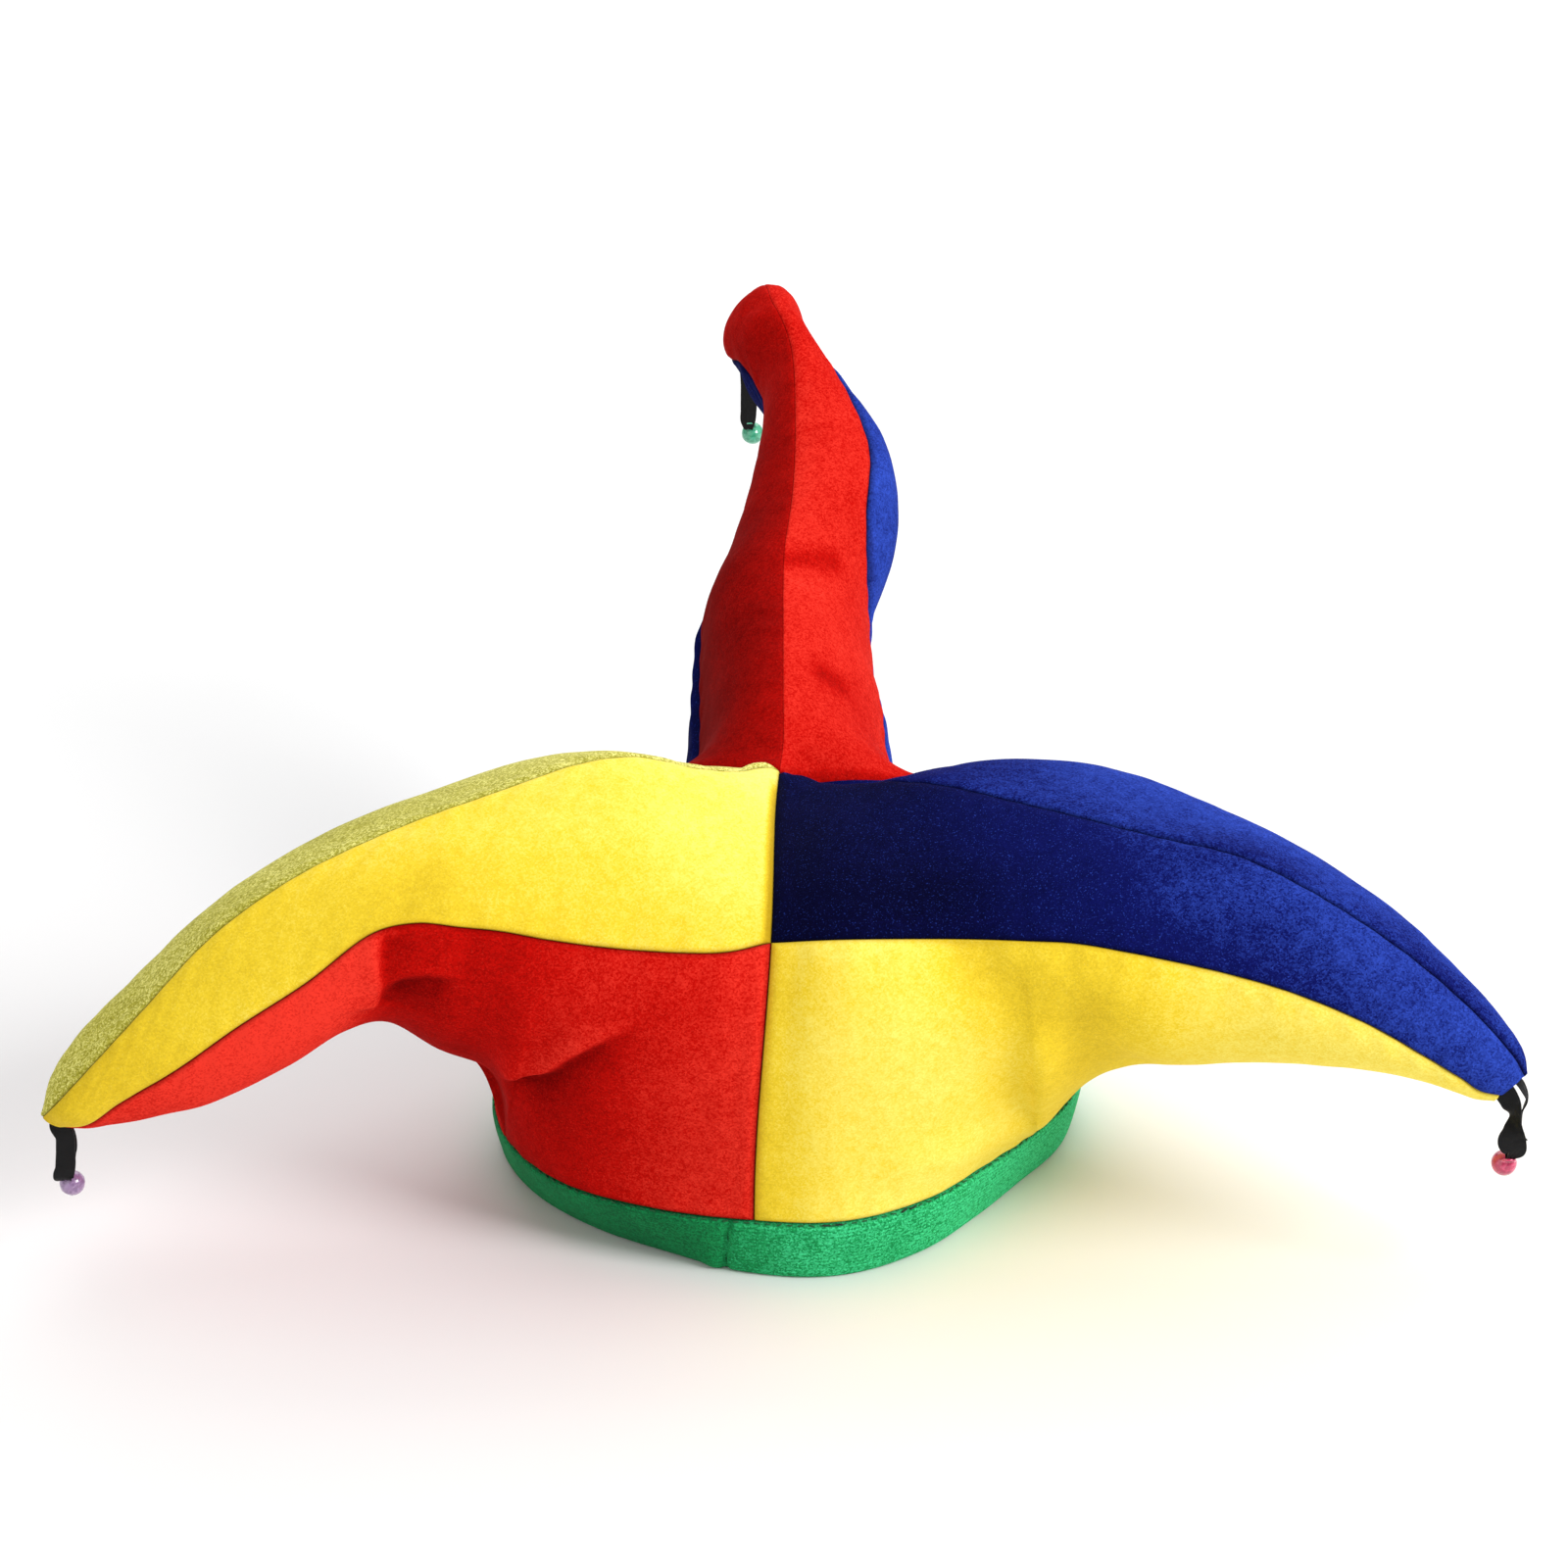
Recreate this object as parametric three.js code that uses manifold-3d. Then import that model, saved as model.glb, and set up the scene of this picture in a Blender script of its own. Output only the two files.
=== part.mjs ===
// Three-horned jester hat: velour panels over thin foam, a folded band and a small bell on each tip.
// Millimetres, +Z up, -Y to the front, +X to the right of the front; the band stands on Z = 0.
import * as THREE from "three";
import { mergeVertices } from "three/addons/utils/BufferGeometryUtils.js";
import Module from "manifold-3d";

const wasm = await Module();
wasm.setup();

// Head opening and band
const BRIM_RADIUS = 96; // outside of the band, at the left end of the head opening
const BAND_HEIGHT = 21;
const BAND_THICKNESS = 5; // velour folded over foam
const BAND_ROUNDING = 1.5;

// Crown and horns
const CROWN_HEIGHT = 137; // where the ridge seams of the three horns meet
const CROWN_OFFSET = -4; // that meeting point lies a little to one side of the brim's centre
const LEFT_REACH = 246; // from the brim's centre to each tip, along its direction
const RIGHT_REACH = 243;
const BACK_REACH = 246;
const WALL = 3; // velour with its foam backing
const TIP_WALL = 1.2; // the foam is trimmed away where a tip is sewn shut
const TRIM_START = 0.8; // where along a horn that trimming begins
const SEAM_GAP = 0.3; // between neighbouring panels
const INNER_SPREAD = 3; // the foam is trimmed, so a seam is this much wider on the inside
const VALLEY_SLOPE = THREE.MathUtils.degToRad(10); // how far the valley seams fall away from the middle
const VALLEY_EASE = 0.14; // share of a panel over which it turns from its valley to its own section
const FOOT_FLARE = THREE.MathUtils.degToRad(42); // how far the crown leans out over the band's ends
const FLARE_START = 0.2; // share of the way from valley to armpit where that lean begins

// Ribbons and bells
const RIBBON_WIDTH = 6;
const RIBBON_THICKNESS = 0.8;
const RIBBON_PINCH = 1.4; // its width where it is gathered in the bell's eye
const RIBBON_TUCK = 7; // length of each ribbon end inside the tip
const RIBBON_TUCK_WIDTH = 3; // its width where it is gathered in the tip
const BELL_RADIUS = 4;
const BELL_WALL = 0.6;
const BELL_SLOT = 0.9;
const SLOT_SPAN = 1.7; // length of each slot, in bell radii
const EYE_RADIUS = 1.9;
const EYE_WIRE = 0.45; // radius of the eye's wire

// Mesh fineness
const ALONG_STEPS = 24;
const UPPER_STEPS = 5;
const LOWER_STEPS = 8;
const BAND_STEPS = 48;
const RIBBON_STEPS = 30;
const BALL_SIDES = 12;
const BALL_RINGS = 8;
const WIRE_SIDES = 6;

// Where along a panel its lower edge leaves the band and becomes the underside of the horn.
const ARMPIT = 0.375;
const ARMPIT_BLEND = 0.06; // how quickly the lower panel turns from the band to the underside there
const ARMPIT_GRIP = 0.3; // how tightly it turns there
const ARMPIT_BEFORE = 0.15; // how far that tighter turn reaches towards the crown
const ARMPIT_AFTER = 0.2; // and towards the tip

// Outline of the band seen from above, at its lower and its upper edge, as shares of BRIM_RADIUS, by
// compass angle. The band leans outward where the crown flares above it.
const BRIM_OUTLINE = [
  { angle: -180, lower: 1.0, upper: 1.03 },
  { angle: -160, lower: 0.94, upper: 1.03 },
  { angle: -140, lower: 0.872, upper: 1.01 },
  { angle: -120, lower: 0.835, upper: 0.945 },
  { angle: -100, lower: 0.868, upper: 0.912 },
  { angle: -80, lower: 0.888, upper: 0.925 },
  { angle: -60, lower: 0.842, upper: 0.888 },
  { angle: -40, lower: 0.795, upper: 0.845 },
  { angle: -20, lower: 0.815, upper: 0.884 },
  { angle: 0, lower: 0.93, upper: 0.985 },
  { angle: 20, lower: 1.03, upper: 1.06 },
  { angle: 50, lower: 1.03, upper: 1.05 },
  { angle: 90, lower: 1.0, upper: 1.02 },
  { angle: 130, lower: 1.0, upper: 1.02 },
  { angle: 160, lower: 1.01, upper: 1.03 },
];

// The seams in the valleys between horns: their angle from above where the side seams cross them
// and at the band, and the crossing's radius (share of BRIM_RADIUS) and rise (share of CROWN_HEIGHT).
const VALLEYS = {
  front: { angle: -95, foot: -98, radius: 0.79, rise: 0.835 },
  right: { angle: 31, foot: 30, radius: 0.8, rise: 0.77 },
  left: { angle: 149, foot: 150, radius: 0.8, rise: 0.77 },
};

// One row for each section of a horn, from the crown to the tip. Along: share of the horn's reach.
// Each place on the ridge seam, the two side seams and the middle of the underside is given as how far
// it lies along (share of the horn's reach), its height (share of CROWN_HEIGHT) and how far it lies off
// the horn's middle plane (share of BRIM_RADIUS), towards the near seam except on the far seam.
const LEFT_SECTIONS = [
  { at: 0.125, ridge: [0.12, 1.048, 0.02], near: [0.2, 0.825, 0.7], far: [0.245, 0.79, 0.58] },
  { at: 0.25, ridge: [0.215, 1.108, 0.02], near: [0.305, 0.832, 0.6], far: [0.33, 0.82, 0.53] },
  { at: 0.375, ridge: [0.305, 1.112, 0.03], near: [0.4, 0.857, 0.51], far: [0.405, 0.86, 0.49] },
  { at: 0.45, ridge: [0.365, 1.098, 0.04], near: [0.45, 0.875, 0.46], far: [0.45, 0.86, 0.46], under: [0.44, 0.36, 0] },
  { at: 0.52, ridge: [0.425, 1.082, 0.05], near: [0.5, 0.888, 0.42], far: [0.5, 0.865, 0.42], under: [0.502, 0.468, 0] },
  { at: 0.583, ridge: [0.49, 1.064, 0.06], near: [0.55, 0.902, 0.385], far: [0.55, 0.87, 0.385], under: [0.565, 0.56, 0] },
  { at: 0.65, ridge: [0.577, 1.022, 0.06], near: [0.606, 0.88, 0.35], far: [0.606, 0.87, 0.35], under: [0.63, 0.535, 0] },
  { at: 0.725, ridge: [0.68, 0.953, 0.065], near: [0.687, 0.775, 0.325], far: [0.69, 0.805, 0.325], under: [0.707, 0.468, 0] },
  { at: 0.8, ridge: [0.785, 0.84, 0.08], near: [0.775, 0.67, 0.275], far: [0.78, 0.71, 0.28], under: [0.797, 0.41, 0] },
  { at: 0.87, ridge: [0.878, 0.682, 0.1], near: [0.854, 0.56, 0.215], far: [0.863, 0.61, 0.22], under: [0.862, 0.4, 0] },
  { at: 0.92, ridge: [0.947, 0.565, 0.11], near: [0.915, 0.49, 0.155], far: [0.93, 0.53, 0.16], under: [0.915, 0.393, 0] },
  { at: 0.96, ridge: [0.988, 0.48, 0.08], near: [0.955, 0.445, 0.1], far: [0.97, 0.472, 0.11], under: [0.945, 0.4, 0] },
  { at: 1, ridge: [1, 0.425, 0.01], near: [0.985, 0.415, 0.036], far: [0.985, 0.415, 0.036], under: [0.974, 0.4, 0] },
];

const RIGHT_SECTIONS = [
  { at: 0.125, ridge: [0.11, 1.03, 0.04], near: [0.185, 0.87, 0.74], far: [0.245, 0.83, 0.58] },
  { at: 0.25, ridge: [0.214, 1.065, 0.085], near: [0.296, 0.862, 0.6], far: [0.33, 0.91, 0.54] },
  { at: 0.375, ridge: [0.33, 1.067, 0.12], near: [0.4, 0.872, 0.54], far: [0.405, 0.945, 0.5] },
  { at: 0.45, ridge: [0.4, 1.063, 0.13], near: [0.46, 0.872, 0.5], far: [0.455, 0.935, 0.47], under: [0.43, 0.36, 0] },
  { at: 0.52, ridge: [0.465, 1.055, 0.135], near: [0.518, 0.862, 0.47], far: [0.51, 0.915, 0.44], under: [0.485, 0.44, 0] },
  { at: 0.583, ridge: [0.53, 1.046, 0.135], near: [0.576, 0.845, 0.432], far: [0.565, 0.895, 0.41], under: [0.55, 0.475, 0] },
  { at: 0.65, ridge: [0.617, 1.017, 0.12], near: [0.646, 0.82, 0.385], far: [0.635, 0.87, 0.37], under: [0.638, 0.505, 0] },
  { at: 0.725, ridge: [0.712, 0.955, 0.11], near: [0.728, 0.781, 0.333], far: [0.718, 0.845, 0.325], under: [0.736, 0.515, 0] },
  { at: 0.8, ridge: [0.815, 0.86, 0.1], near: [0.815, 0.715, 0.27], far: [0.812, 0.8, 0.27], under: [0.823, 0.515, 0] },
  { at: 0.87, ridge: [0.893, 0.745, 0.065], near: [0.885, 0.642, 0.205], far: [0.888, 0.71, 0.205], under: [0.889, 0.508, 0] },
  { at: 0.92, ridge: [0.951, 0.66, 0.055], near: [0.935, 0.59, 0.15], far: [0.944, 0.632, 0.155], under: [0.932, 0.5, 0] },
  { at: 0.96, ridge: [0.986, 0.59, 0.04], near: [0.965, 0.55, 0.1], far: [0.978, 0.572, 0.105], under: [0.958, 0.503, 0] },
  { at: 1, ridge: [1, 0.545, 0], near: [0.988, 0.525, 0.036], far: [0.988, 0.525, 0.036], under: [0.978, 0.508, 0] },
];

const BACK_SECTIONS = [
  { at: 0.125, ridge: [0.055, 1.03, -0.03], near: [0.18, 0.785, 0.56], far: [0.18, 0.785, 0.56] },
  { at: 0.25, ridge: [0.12, 1.085, -0.03], near: [0.21, 0.8, 0.42], far: [0.21, 0.8, 0.41] },
  { at: 0.375, ridge: [0.19, 1.135, -0.03], near: [0.26, 0.84, 0.34], far: [0.26, 0.84, 0.33] },
  { at: 0.45, ridge: [0.255, 1.175, -0.03], near: [0.325, 0.88, 0.32], far: [0.325, 0.88, 0.325], under: [0.423, 0.37, 0] },
  { at: 0.52, ridge: [0.32, 1.215, -0.03], near: [0.388, 0.93, 0.29], far: [0.388, 0.94, 0.325], under: [0.462, 0.59, 0] },
  { at: 0.583, ridge: [0.395, 1.265, -0.025], near: [0.457, 1.02, 0.275], far: [0.457, 1.03, 0.31], under: [0.52, 0.755, 0.02] },
  { at: 0.65, ridge: [0.49, 1.34, 0], near: [0.514, 1.25, 0.27], far: [0.545, 1.1, 0.2], under: [0.6, 0.905, 0.13] },
  { at: 0.725, ridge: [0.61, 1.44, 0.01], near: [0.624, 1.372, 0.28], far: [0.65, 1.24, 0.15], under: [0.69, 1.065, 0.17] },
  { at: 0.8, ridge: [0.73, 1.55, -0.01], near: [0.741, 1.49, 0.15], far: [0.764, 1.372, 0.11], under: [0.79, 1.22, 0.08] },
  { at: 0.87, ridge: [0.82, 1.618, -0.09], near: [0.81, 1.5, 0.05], far: [0.835, 1.48, 0.195], under: [0.865, 1.33, -0.09] },
  { at: 0.92, ridge: [0.902, 1.6, -0.12], near: [0.88, 1.47, 0.01], far: [0.895, 1.46, 0.23], under: [0.892, 1.365, -0.12] },
  { at: 0.96, ridge: [0.96, 1.505, -0.14], near: [0.93, 1.425, -0.04], far: [0.945, 1.42, 0.23], under: [0.922, 1.365, -0.14] },
  { at: 1, ridge: [0.985, 1.39, -0.15], near: [0.975, 1.375, -0.114], far: [0.98, 1.37, 0.186], under: [0.962, 1.365, -0.15] },
];

// How far each half falls away from its ridge seam, in degrees: the fuller the half, the less.
const RIDGE_SLOPE = {
  left: { near: 18, far: 16 },
  right: { near: 7, far: 12 },
  back: { near: 10, far: 10 },
};

// Each horn: its direction from above, the valleys on its two sides, reach and sections.
const HORNS = {
  left: { angle: 200, near: "front", far: "left", reach: LEFT_REACH, sections: LEFT_SECTIONS },
  right: { angle: -22, near: "front", far: "right", reach: RIGHT_REACH, sections: RIGHT_SECTIONS },
  back: { angle: 90, near: "right", far: "left", reach: BACK_REACH, sections: BACK_SECTIONS },
};

// Dents and folds in the foam. Each runs from one place to another on its half of a horn, given as
// shares along and across the panel, with its width (share of the panel) and depth in millimetres.
const FOLDS = [
  { panel: "left_near_lower", from: [0.57, 0.1], to: [0.575, 0.85], width: 0.045, depth: 4 },
  { panel: "left_near_lower", from: [0.28, 0.68], to: [0.42, 0.45], width: 0.08, depth: 5 },
  { panel: "left_near_upper", from: [0.56, 0.8], to: [0.62, 0.75], width: 0.1, depth: 3 },
  { panel: "right_near_lower", from: [0.22, 0.15], to: [0.46, 0.42], width: 0.12, depth: 5 },
  { panel: "right_near_upper", from: [0.1, 0.3], to: [0.3, 0.2], width: 0.1, depth: 2 },
  { panel: "back_near_upper", from: [0.58, 0.35], to: [0.6, 0.8], width: 0.05, depth: 1.5 },
];

// Each bell: how far its eye hangs below the tip, how far it swings along X, how far it tips about Y
// in degrees, and the twist of its ribbon in degrees.
const DROPS = {
  left: { drop: 17, lean: 2, tilt: -20, twist: 0 },
  right: { drop: 20, lean: -2, tilt: 12, twist: 52 },
  back: { drop: 25, lean: 1, tilt: 0, twist: 0 },
};

// How far each strand of a ribbon bulges off the middle, by share of the way from tip to eye.
const RIBBON_BULGE = [
  { at: 0.35, out: 1.8 },
  { at: 0.7, out: 2.3 },
  { at: 0.95, out: 1.1 },
];

// Width of a ribbon along its first half; the second half mirrors it.
const RIBBON_WIDTHS = [
  { at: 0, width: RIBBON_TUCK_WIDTH },
  { at: 0.12, width: RIBBON_TUCK_WIDTH },
  { at: 0.25, width: RIBBON_WIDTH },
  { at: 0.36, width: RIBBON_WIDTH },
  { at: 0.45, width: RIBBON_PINCH },
];

const VELOUR = { roughness: 0.9, metalness: 0 };
const YELLOW = new THREE.MeshStandardMaterial({ color: 0xf2d62e, ...VELOUR });
const RED = new THREE.MeshStandardMaterial({ color: 0xd3150f, ...VELOUR });
const BLUE = new THREE.MeshStandardMaterial({ color: 0x1a2c96, ...VELOUR });
const GREEN = new THREE.MeshStandardMaterial({ color: 0x0f9a50, ...VELOUR });
const BLACK = new THREE.MeshStandardMaterial({ color: 0x1c1b1c, roughness: 0.45, metalness: 0 });
const ENAMEL = { roughness: 0.2, metalness: 0.1 };
const LILAC = new THREE.MeshStandardMaterial({ color: 0x9a7aa0, ...ENAMEL });
const PINK = new THREE.MeshStandardMaterial({ color: 0xd9406e, ...ENAMEL });
const MINT = new THREE.MeshStandardMaterial({ color: 0x4fb88c, ...ENAMEL });

const UP = new THREE.Vector3(0, 0, 1);
const DOWN = new THREE.Vector3(0, 0, -1);
const APEX = new THREE.Vector3(CROWN_OFFSET, 0, CROWN_HEIGHT);

// Small helpers on vectors and numbers
const compass = (degrees) => {
  const turn = THREE.MathUtils.degToRad(degrees);
  return new THREE.Vector3(Math.cos(turn), Math.sin(turn), 0);
};
const mix = (a, b, share) => a.clone().lerp(b, share);
const moved = (point, direction, length) => point.clone().addScaledVector(direction, length);
const between = (from, to) => to.clone().sub(from);
const eased = (value, start, end) => THREE.MathUtils.smoothstep(value, start, end);

// A smooth value through rows of [place, number], by cubic pieces that pass through every row.
function through(rows, place) {
  let i = rows.findIndex((row) => row[0] > place) - 1;
  if (i < 0) i = place <= rows[0][0] ? 0 : rows.length - 2;
  const slope = (a, b) => (rows[b][1] - rows[a][1]) / (rows[b][0] - rows[a][0]);
  const tangent = (k) => {
    if (k === 0) return slope(0, 1);
    if (k === rows.length - 1) return slope(k - 1, k);
    const before = rows[k][0] - rows[k - 1][0];
    const after = rows[k + 1][0] - rows[k][0];
    return (slope(k - 1, k) * after + slope(k, k + 1) * before) / (before + after);
  };
  const span = rows[i + 1][0] - rows[i][0];
  const t = (place - rows[i][0]) / span;
  const rise = t * t * (3 - 2 * t);
  const first = t * (1 - t) * (1 - t) * span * tangent(i);
  const second = t * t * (t - 1) * span * tangent(i + 1);
  return rows[i][1] * (1 - rise) + rows[i + 1][1] * rise + first + second;
}

// A point of the band's outside at a compass angle and a height, set inward by an inset.
const outlineAt = (edge) => {
  const rows = BRIM_OUTLINE.map((row) => [row.angle, row[edge]]);
  const turned = (row, turn) => [row[0] + turn, row[1]];
  const before = rows.slice(-2).map((row) => turned(row, -360));
  const after = rows.slice(0, 2).map((row) => turned(row, 360));
  return (angle) => through([...before, ...rows, ...after], angle);
};
const lowerOutline = outlineAt("lower");
const upperOutline = outlineAt("upper");
function brimPoint(angle, inset, height) {
  const turned = THREE.MathUtils.euclideanModulo(angle + 180, 360) - 180;
  const share = THREE.MathUtils.lerp(lowerOutline(turned), upperOutline(turned), height / BAND_HEIGHT);
  return compass(angle)
    .multiplyScalar(BRIM_RADIUS * share - inset)
    .setZ(height);
}

// A sewn line in space through the points of a table, as a function of the place along the panel.
function lineThrough(places, points) {
  const axes = ["x", "y", "z"].map((axis) => points.map((point, i) => [places[i], point[axis]]));
  return (place) => new THREE.Vector3(...axes.map((rows) => through(rows, place)));
}

const FOOT_HEIGHT = BAND_HEIGHT + SEAM_GAP;
const FOOT_INSET = (BAND_THICKNESS - WALL) / 2;

const valleyCrossing = ({ angle, radius, rise }) =>
  compass(angle)
    .multiplyScalar(BRIM_RADIUS * radius)
    .setZ(CROWN_HEIGHT * rise);

// The four sewn lines of a horn and the directions that its sections share.
function hornLines({ angle, near, far, reach, sections }, slopes) {
  const ahead = compass(angle);
  const nearSide = compass(angle + 90);
  if (nearSide.dot(compass(VALLEYS[near].angle)) < 0) nearSide.negate();
  const place = ([along, rise, side]) =>
    moved(ahead.clone().multiplyScalar(along * reach), nearSide, side * BRIM_RADIUS).setZ(
      rise * CROWN_HEIGHT,
    );
  const places = [0, ...sections.map((row) => row.at)];
  const ridgePoints = sections.map((row) => place(row.ridge));
  const nearPoints = sections.map((row) => place(row.near));
  const farPoints = sections.map(({ far: [along, rise, side] }) => place([along, rise, -side]));
  const lower = sections.filter((row) => row.under);
  const underPoints = lower.map((row) => place(row.under));
  return {
    angle,
    ahead,
    sideOf: (half) => nearSide.clone().multiplyScalar(half === "near" ? 1 : -1),
    ridge: lineThrough(places, [APEX, ...ridgePoints]),
    near: lineThrough(places, [valleyCrossing(VALLEYS[near]), ...nearPoints]),
    far: lineThrough(places, [valleyCrossing(VALLEYS[far]), ...farPoints]),
    under: lineThrough(
      [ARMPIT, ...lower.map((row) => row.at)],
      [brimPoint(angle, FOOT_INSET, FOOT_HEIGHT), ...underPoints],
    ),
    valleys: { near: VALLEYS[near], far: VALLEYS[far] },
    slopeOf: (half) => THREE.MathUtils.degToRad(slopes[half]),
  };
}

// A cubic arc from start to end that leaves and arrives along the given directions, close to round
// where they allow it. A grip under 1 makes its last bend tighter.
const WIDEST_TURN = 2.6; // radians, past which a round arc would balloon
const LEAST_TURN = 0.01;
function arc(start, leaving, end, arriving, share, grip = 1) {
  const turn = THREE.MathUtils.clamp(leaving.angleTo(arriving), LEAST_TURN, WIDEST_TURN);
  const handle = (4 / 3) * (Math.tan(turn / 4) / (2 * Math.sin(turn / 2)));
  const reach = start.distanceTo(end) * handle;
  const curve = new THREE.CubicBezierCurve3(
    start,
    moved(start, leaving, reach),
    moved(end, arriving, -reach * grip),
    end,
  );
  return curve.getPoint(share);
}

// The section of one half of a horn at a place along it: its three points, the directions in which
// the surface passes them, and the outward direction at each.
function halfSection(lines, half, place) {
  const valley = lines.valleys[half];
  const ridge = lines.ridge(place);
  const seam = lines[half](place);
  const other = lines[half === "near" ? "far" : "near"](place);
  const across = between(other, seam).normalize();
  const centre = mix(seam, other, 0.5);
  const inward = between(ridge, centre);
  inward.addScaledVector(across, -inward.dot(across)).normalize();
  const fromValley = 1 - eased(place, 0, VALLEY_EASE);
  const slope = THREE.MathUtils.lerp(lines.slopeOf(half), VALLEY_SLOPE, fromValley);
  const valleyOut = compass(valley.angle);
  const sideways = mix(across, valleyOut, fromValley).normalize();
  const fall = mix(inward, DOWN, fromValley).normalize();
  const ridgeLeaving = sideways
    .clone()
    .multiplyScalar(Math.cos(slope))
    .addScaledVector(fall, Math.sin(slope))
    .normalize();

  const swing = ((lines.angle - valley.foot + 540) % 360) - 180;
  const onBand = Math.min(place / ARMPIT, 1);
  const footAngle = valley.foot + swing * onBand;
  const bottom =
    place <= ARMPIT ? brimPoint(footAngle, FOOT_INSET, FOOT_HEIGHT) : lines.under(place);
  const flare = FOOT_FLARE * eased(onBand, FLARE_START, 1);
  const downIn = DOWN.clone()
    .multiplyScalar(Math.cos(flare))
    .addScaledVector(compass(footAngle), -Math.sin(flare));
  const bottomArriving = mix(
    downIn,
    across.clone().negate(),
    eased(place, ARMPIT - ARMPIT_BLEND, ARMPIT + ARMPIT_BLEND),
  ).normalize();
  const upper = between(ridge, seam);
  const under = between(seam, bottom);
  const seamPassing = upper
    .clone()
    .divideScalar(upper.lengthSq())
    .add(under.clone().divideScalar(under.lengthSq()))
    .normalize();
  const nearing = eased(place, ARMPIT - ARMPIT_BEFORE, ARMPIT);
  const leaving = eased(place, ARMPIT, ARMPIT + ARMPIT_AFTER);
  const grip = THREE.MathUtils.lerp(1, ARMPIT_GRIP, nearing * (1 - leaving));
  return { ridge, seam, bottom, centre, across, ridgeLeaving, seamPassing, bottomArriving, grip };
}

// Depth of the folds of one panel at a place.
function foldDepth(panel, along, acrossShare) {
  const here = new THREE.Vector2(along, acrossShare);
  return FOLDS.filter((fold) => fold.panel === panel).reduce((sum, fold) => {
    const start = new THREE.Vector2(...fold.from);
    const run = new THREE.Vector2(...fold.to).sub(start);
    const share = THREE.MathUtils.clamp(here.clone().sub(start).dot(run) / run.lengthSq(), 0, 1);
    const away = here.distanceTo(start.addScaledVector(run, share)) / fold.width;
    return sum + fold.depth * Math.exp(-away * away);
  }, 0);
}

// One half panel as a grid of outer points: rows run from the crown to the tip, columns from the
// upper seam to the lower one. Upper panels lie between ridge and side seam, lower ones below it.
function surfacePoint(lines, half, isUpper, along, share) {
  const section = halfSection(lines, half, along);
  return isUpper
    ? arc(section.ridge, section.ridgeLeaving, section.seam, section.seamPassing, share)
    : arc(
        section.seam,
        section.seamPassing,
        section.bottom,
        section.bottomArriving,
        share,
        section.grip,
      );
}

const PROBE = 0.004; // step for measuring a surface's slope
function outwardAt(lines, half, isUpper, along, share) {
  const a = THREE.MathUtils.clamp(along, PROBE, 1 - PROBE);
  const s = THREE.MathUtils.clamp(share, PROBE, 1 - PROBE);
  const at = (u, v) => surfacePoint(lines, half, isUpper, u, v);
  const alongStep = between(at(a - PROBE, s), at(a + PROBE, s));
  const acrossStep = between(at(a, s - PROBE), at(a, s + PROBE));
  const outward = alongStep.cross(acrossStep).normalize();
  const handed = lines.ahead.clone().cross(lines.sideOf(half)).z;
  return handed < 0 ? outward.negate() : outward;
}

const wallAt = (along) => WALL + (TIP_WALL - WALL) * eased(along, TRIM_START, 1);

function halfPanel(name, lines, half, isUpper) {
  const steps = isUpper ? UPPER_STEPS : LOWER_STEPS;
  const valley = lines.valleys[half];
  const valleyOut = compass(valley.angle);
  const awayFromValley = compass(valley.angle + 90);
  if (awayFromValley.dot(lines.ahead) < 0) awayFromValley.negate();
  const outer = [];
  const inner = [];
  for (let i = 0; i <= ALONG_STEPS; i++) {
    const along = i / ALONG_STEPS;
    const section = halfSection(lines, half, along);
    const footed = !isUpper && along <= ARMPIT;
    for (let j = 0; j <= steps; j++) {
      const share = j / steps;
      const point = surfacePoint(lines, half, isUpper, along, share);
      let outward = outwardAt(lines, half, isUpper, along, share);
      // Along a shared seam both panels step inward the same way, so their edges stay parallel.
      if (i === 0) {
        outward.addScaledVector(awayFromValley, -outward.dot(awayFromValley)).normalize();
        if (outward.dot(valleyOut) < 0 && !isUpper) outward.negate();
      }
      const onRidge = isUpper && j === 0;
      const onMiddle = !isUpper && j === steps && !footed;
      const onSeam = isUpper ? j === steps : j === 0;
      if (onRidge) outward = i === 0 ? UP.clone() : squareTo(section.across, section.centre, point);
      if (onMiddle) outward = squareTo(section.across, section.centre, point);
      if (onSeam && i > 0) outward = seamOutward(lines, half, along);
      if (footed && j === steps) outward.setZ(0).normalize();
      const fold = i === 0 || onRidge || onSeam || j === steps ? 0 : foldDepth(name, along, share);
      const edge = new THREE.Vector3();
      if (i === 0) edge.addScaledVector(onRidge ? lines.ahead : awayFromValley, SEAM_GAP / 2);
      if (onRidge) edge.addScaledVector(lines.sideOf(half), SEAM_GAP / 2);
      if (onSeam) edge.addScaledVector(section.seamPassing, ((isUpper ? -1 : 1) * SEAM_GAP) / 2);
      outer.push(moved(point, outward, -fold).add(edge));
      inner.push(moved(point, outward, -fold - wallAt(along)).addScaledVector(edge, INNER_SPREAD));
    }
  }
  return { outer, inner, columns: steps + 1, flipped: false };
}

// The direction from centre to point, made square to across.
function squareTo(across, centre, point) {
  const away = between(centre, point);
  return away.addScaledVector(across, -away.dot(across)).normalize();
}

// Outward direction on a side seam, the same for the panel above it and the one below.
function seamOutward(lines, half, along) {
  const a = THREE.MathUtils.clamp(along, PROBE, 1 - PROBE);
  const run = between(lines[half](a - PROBE), lines[half](a + PROBE));
  const section = halfSection(lines, half, along);
  const outward = run.cross(section.seamPassing).normalize();
  return outward.dot(between(section.centre, section.seam)) < 0 ? outward.negate() : outward;
}

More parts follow.
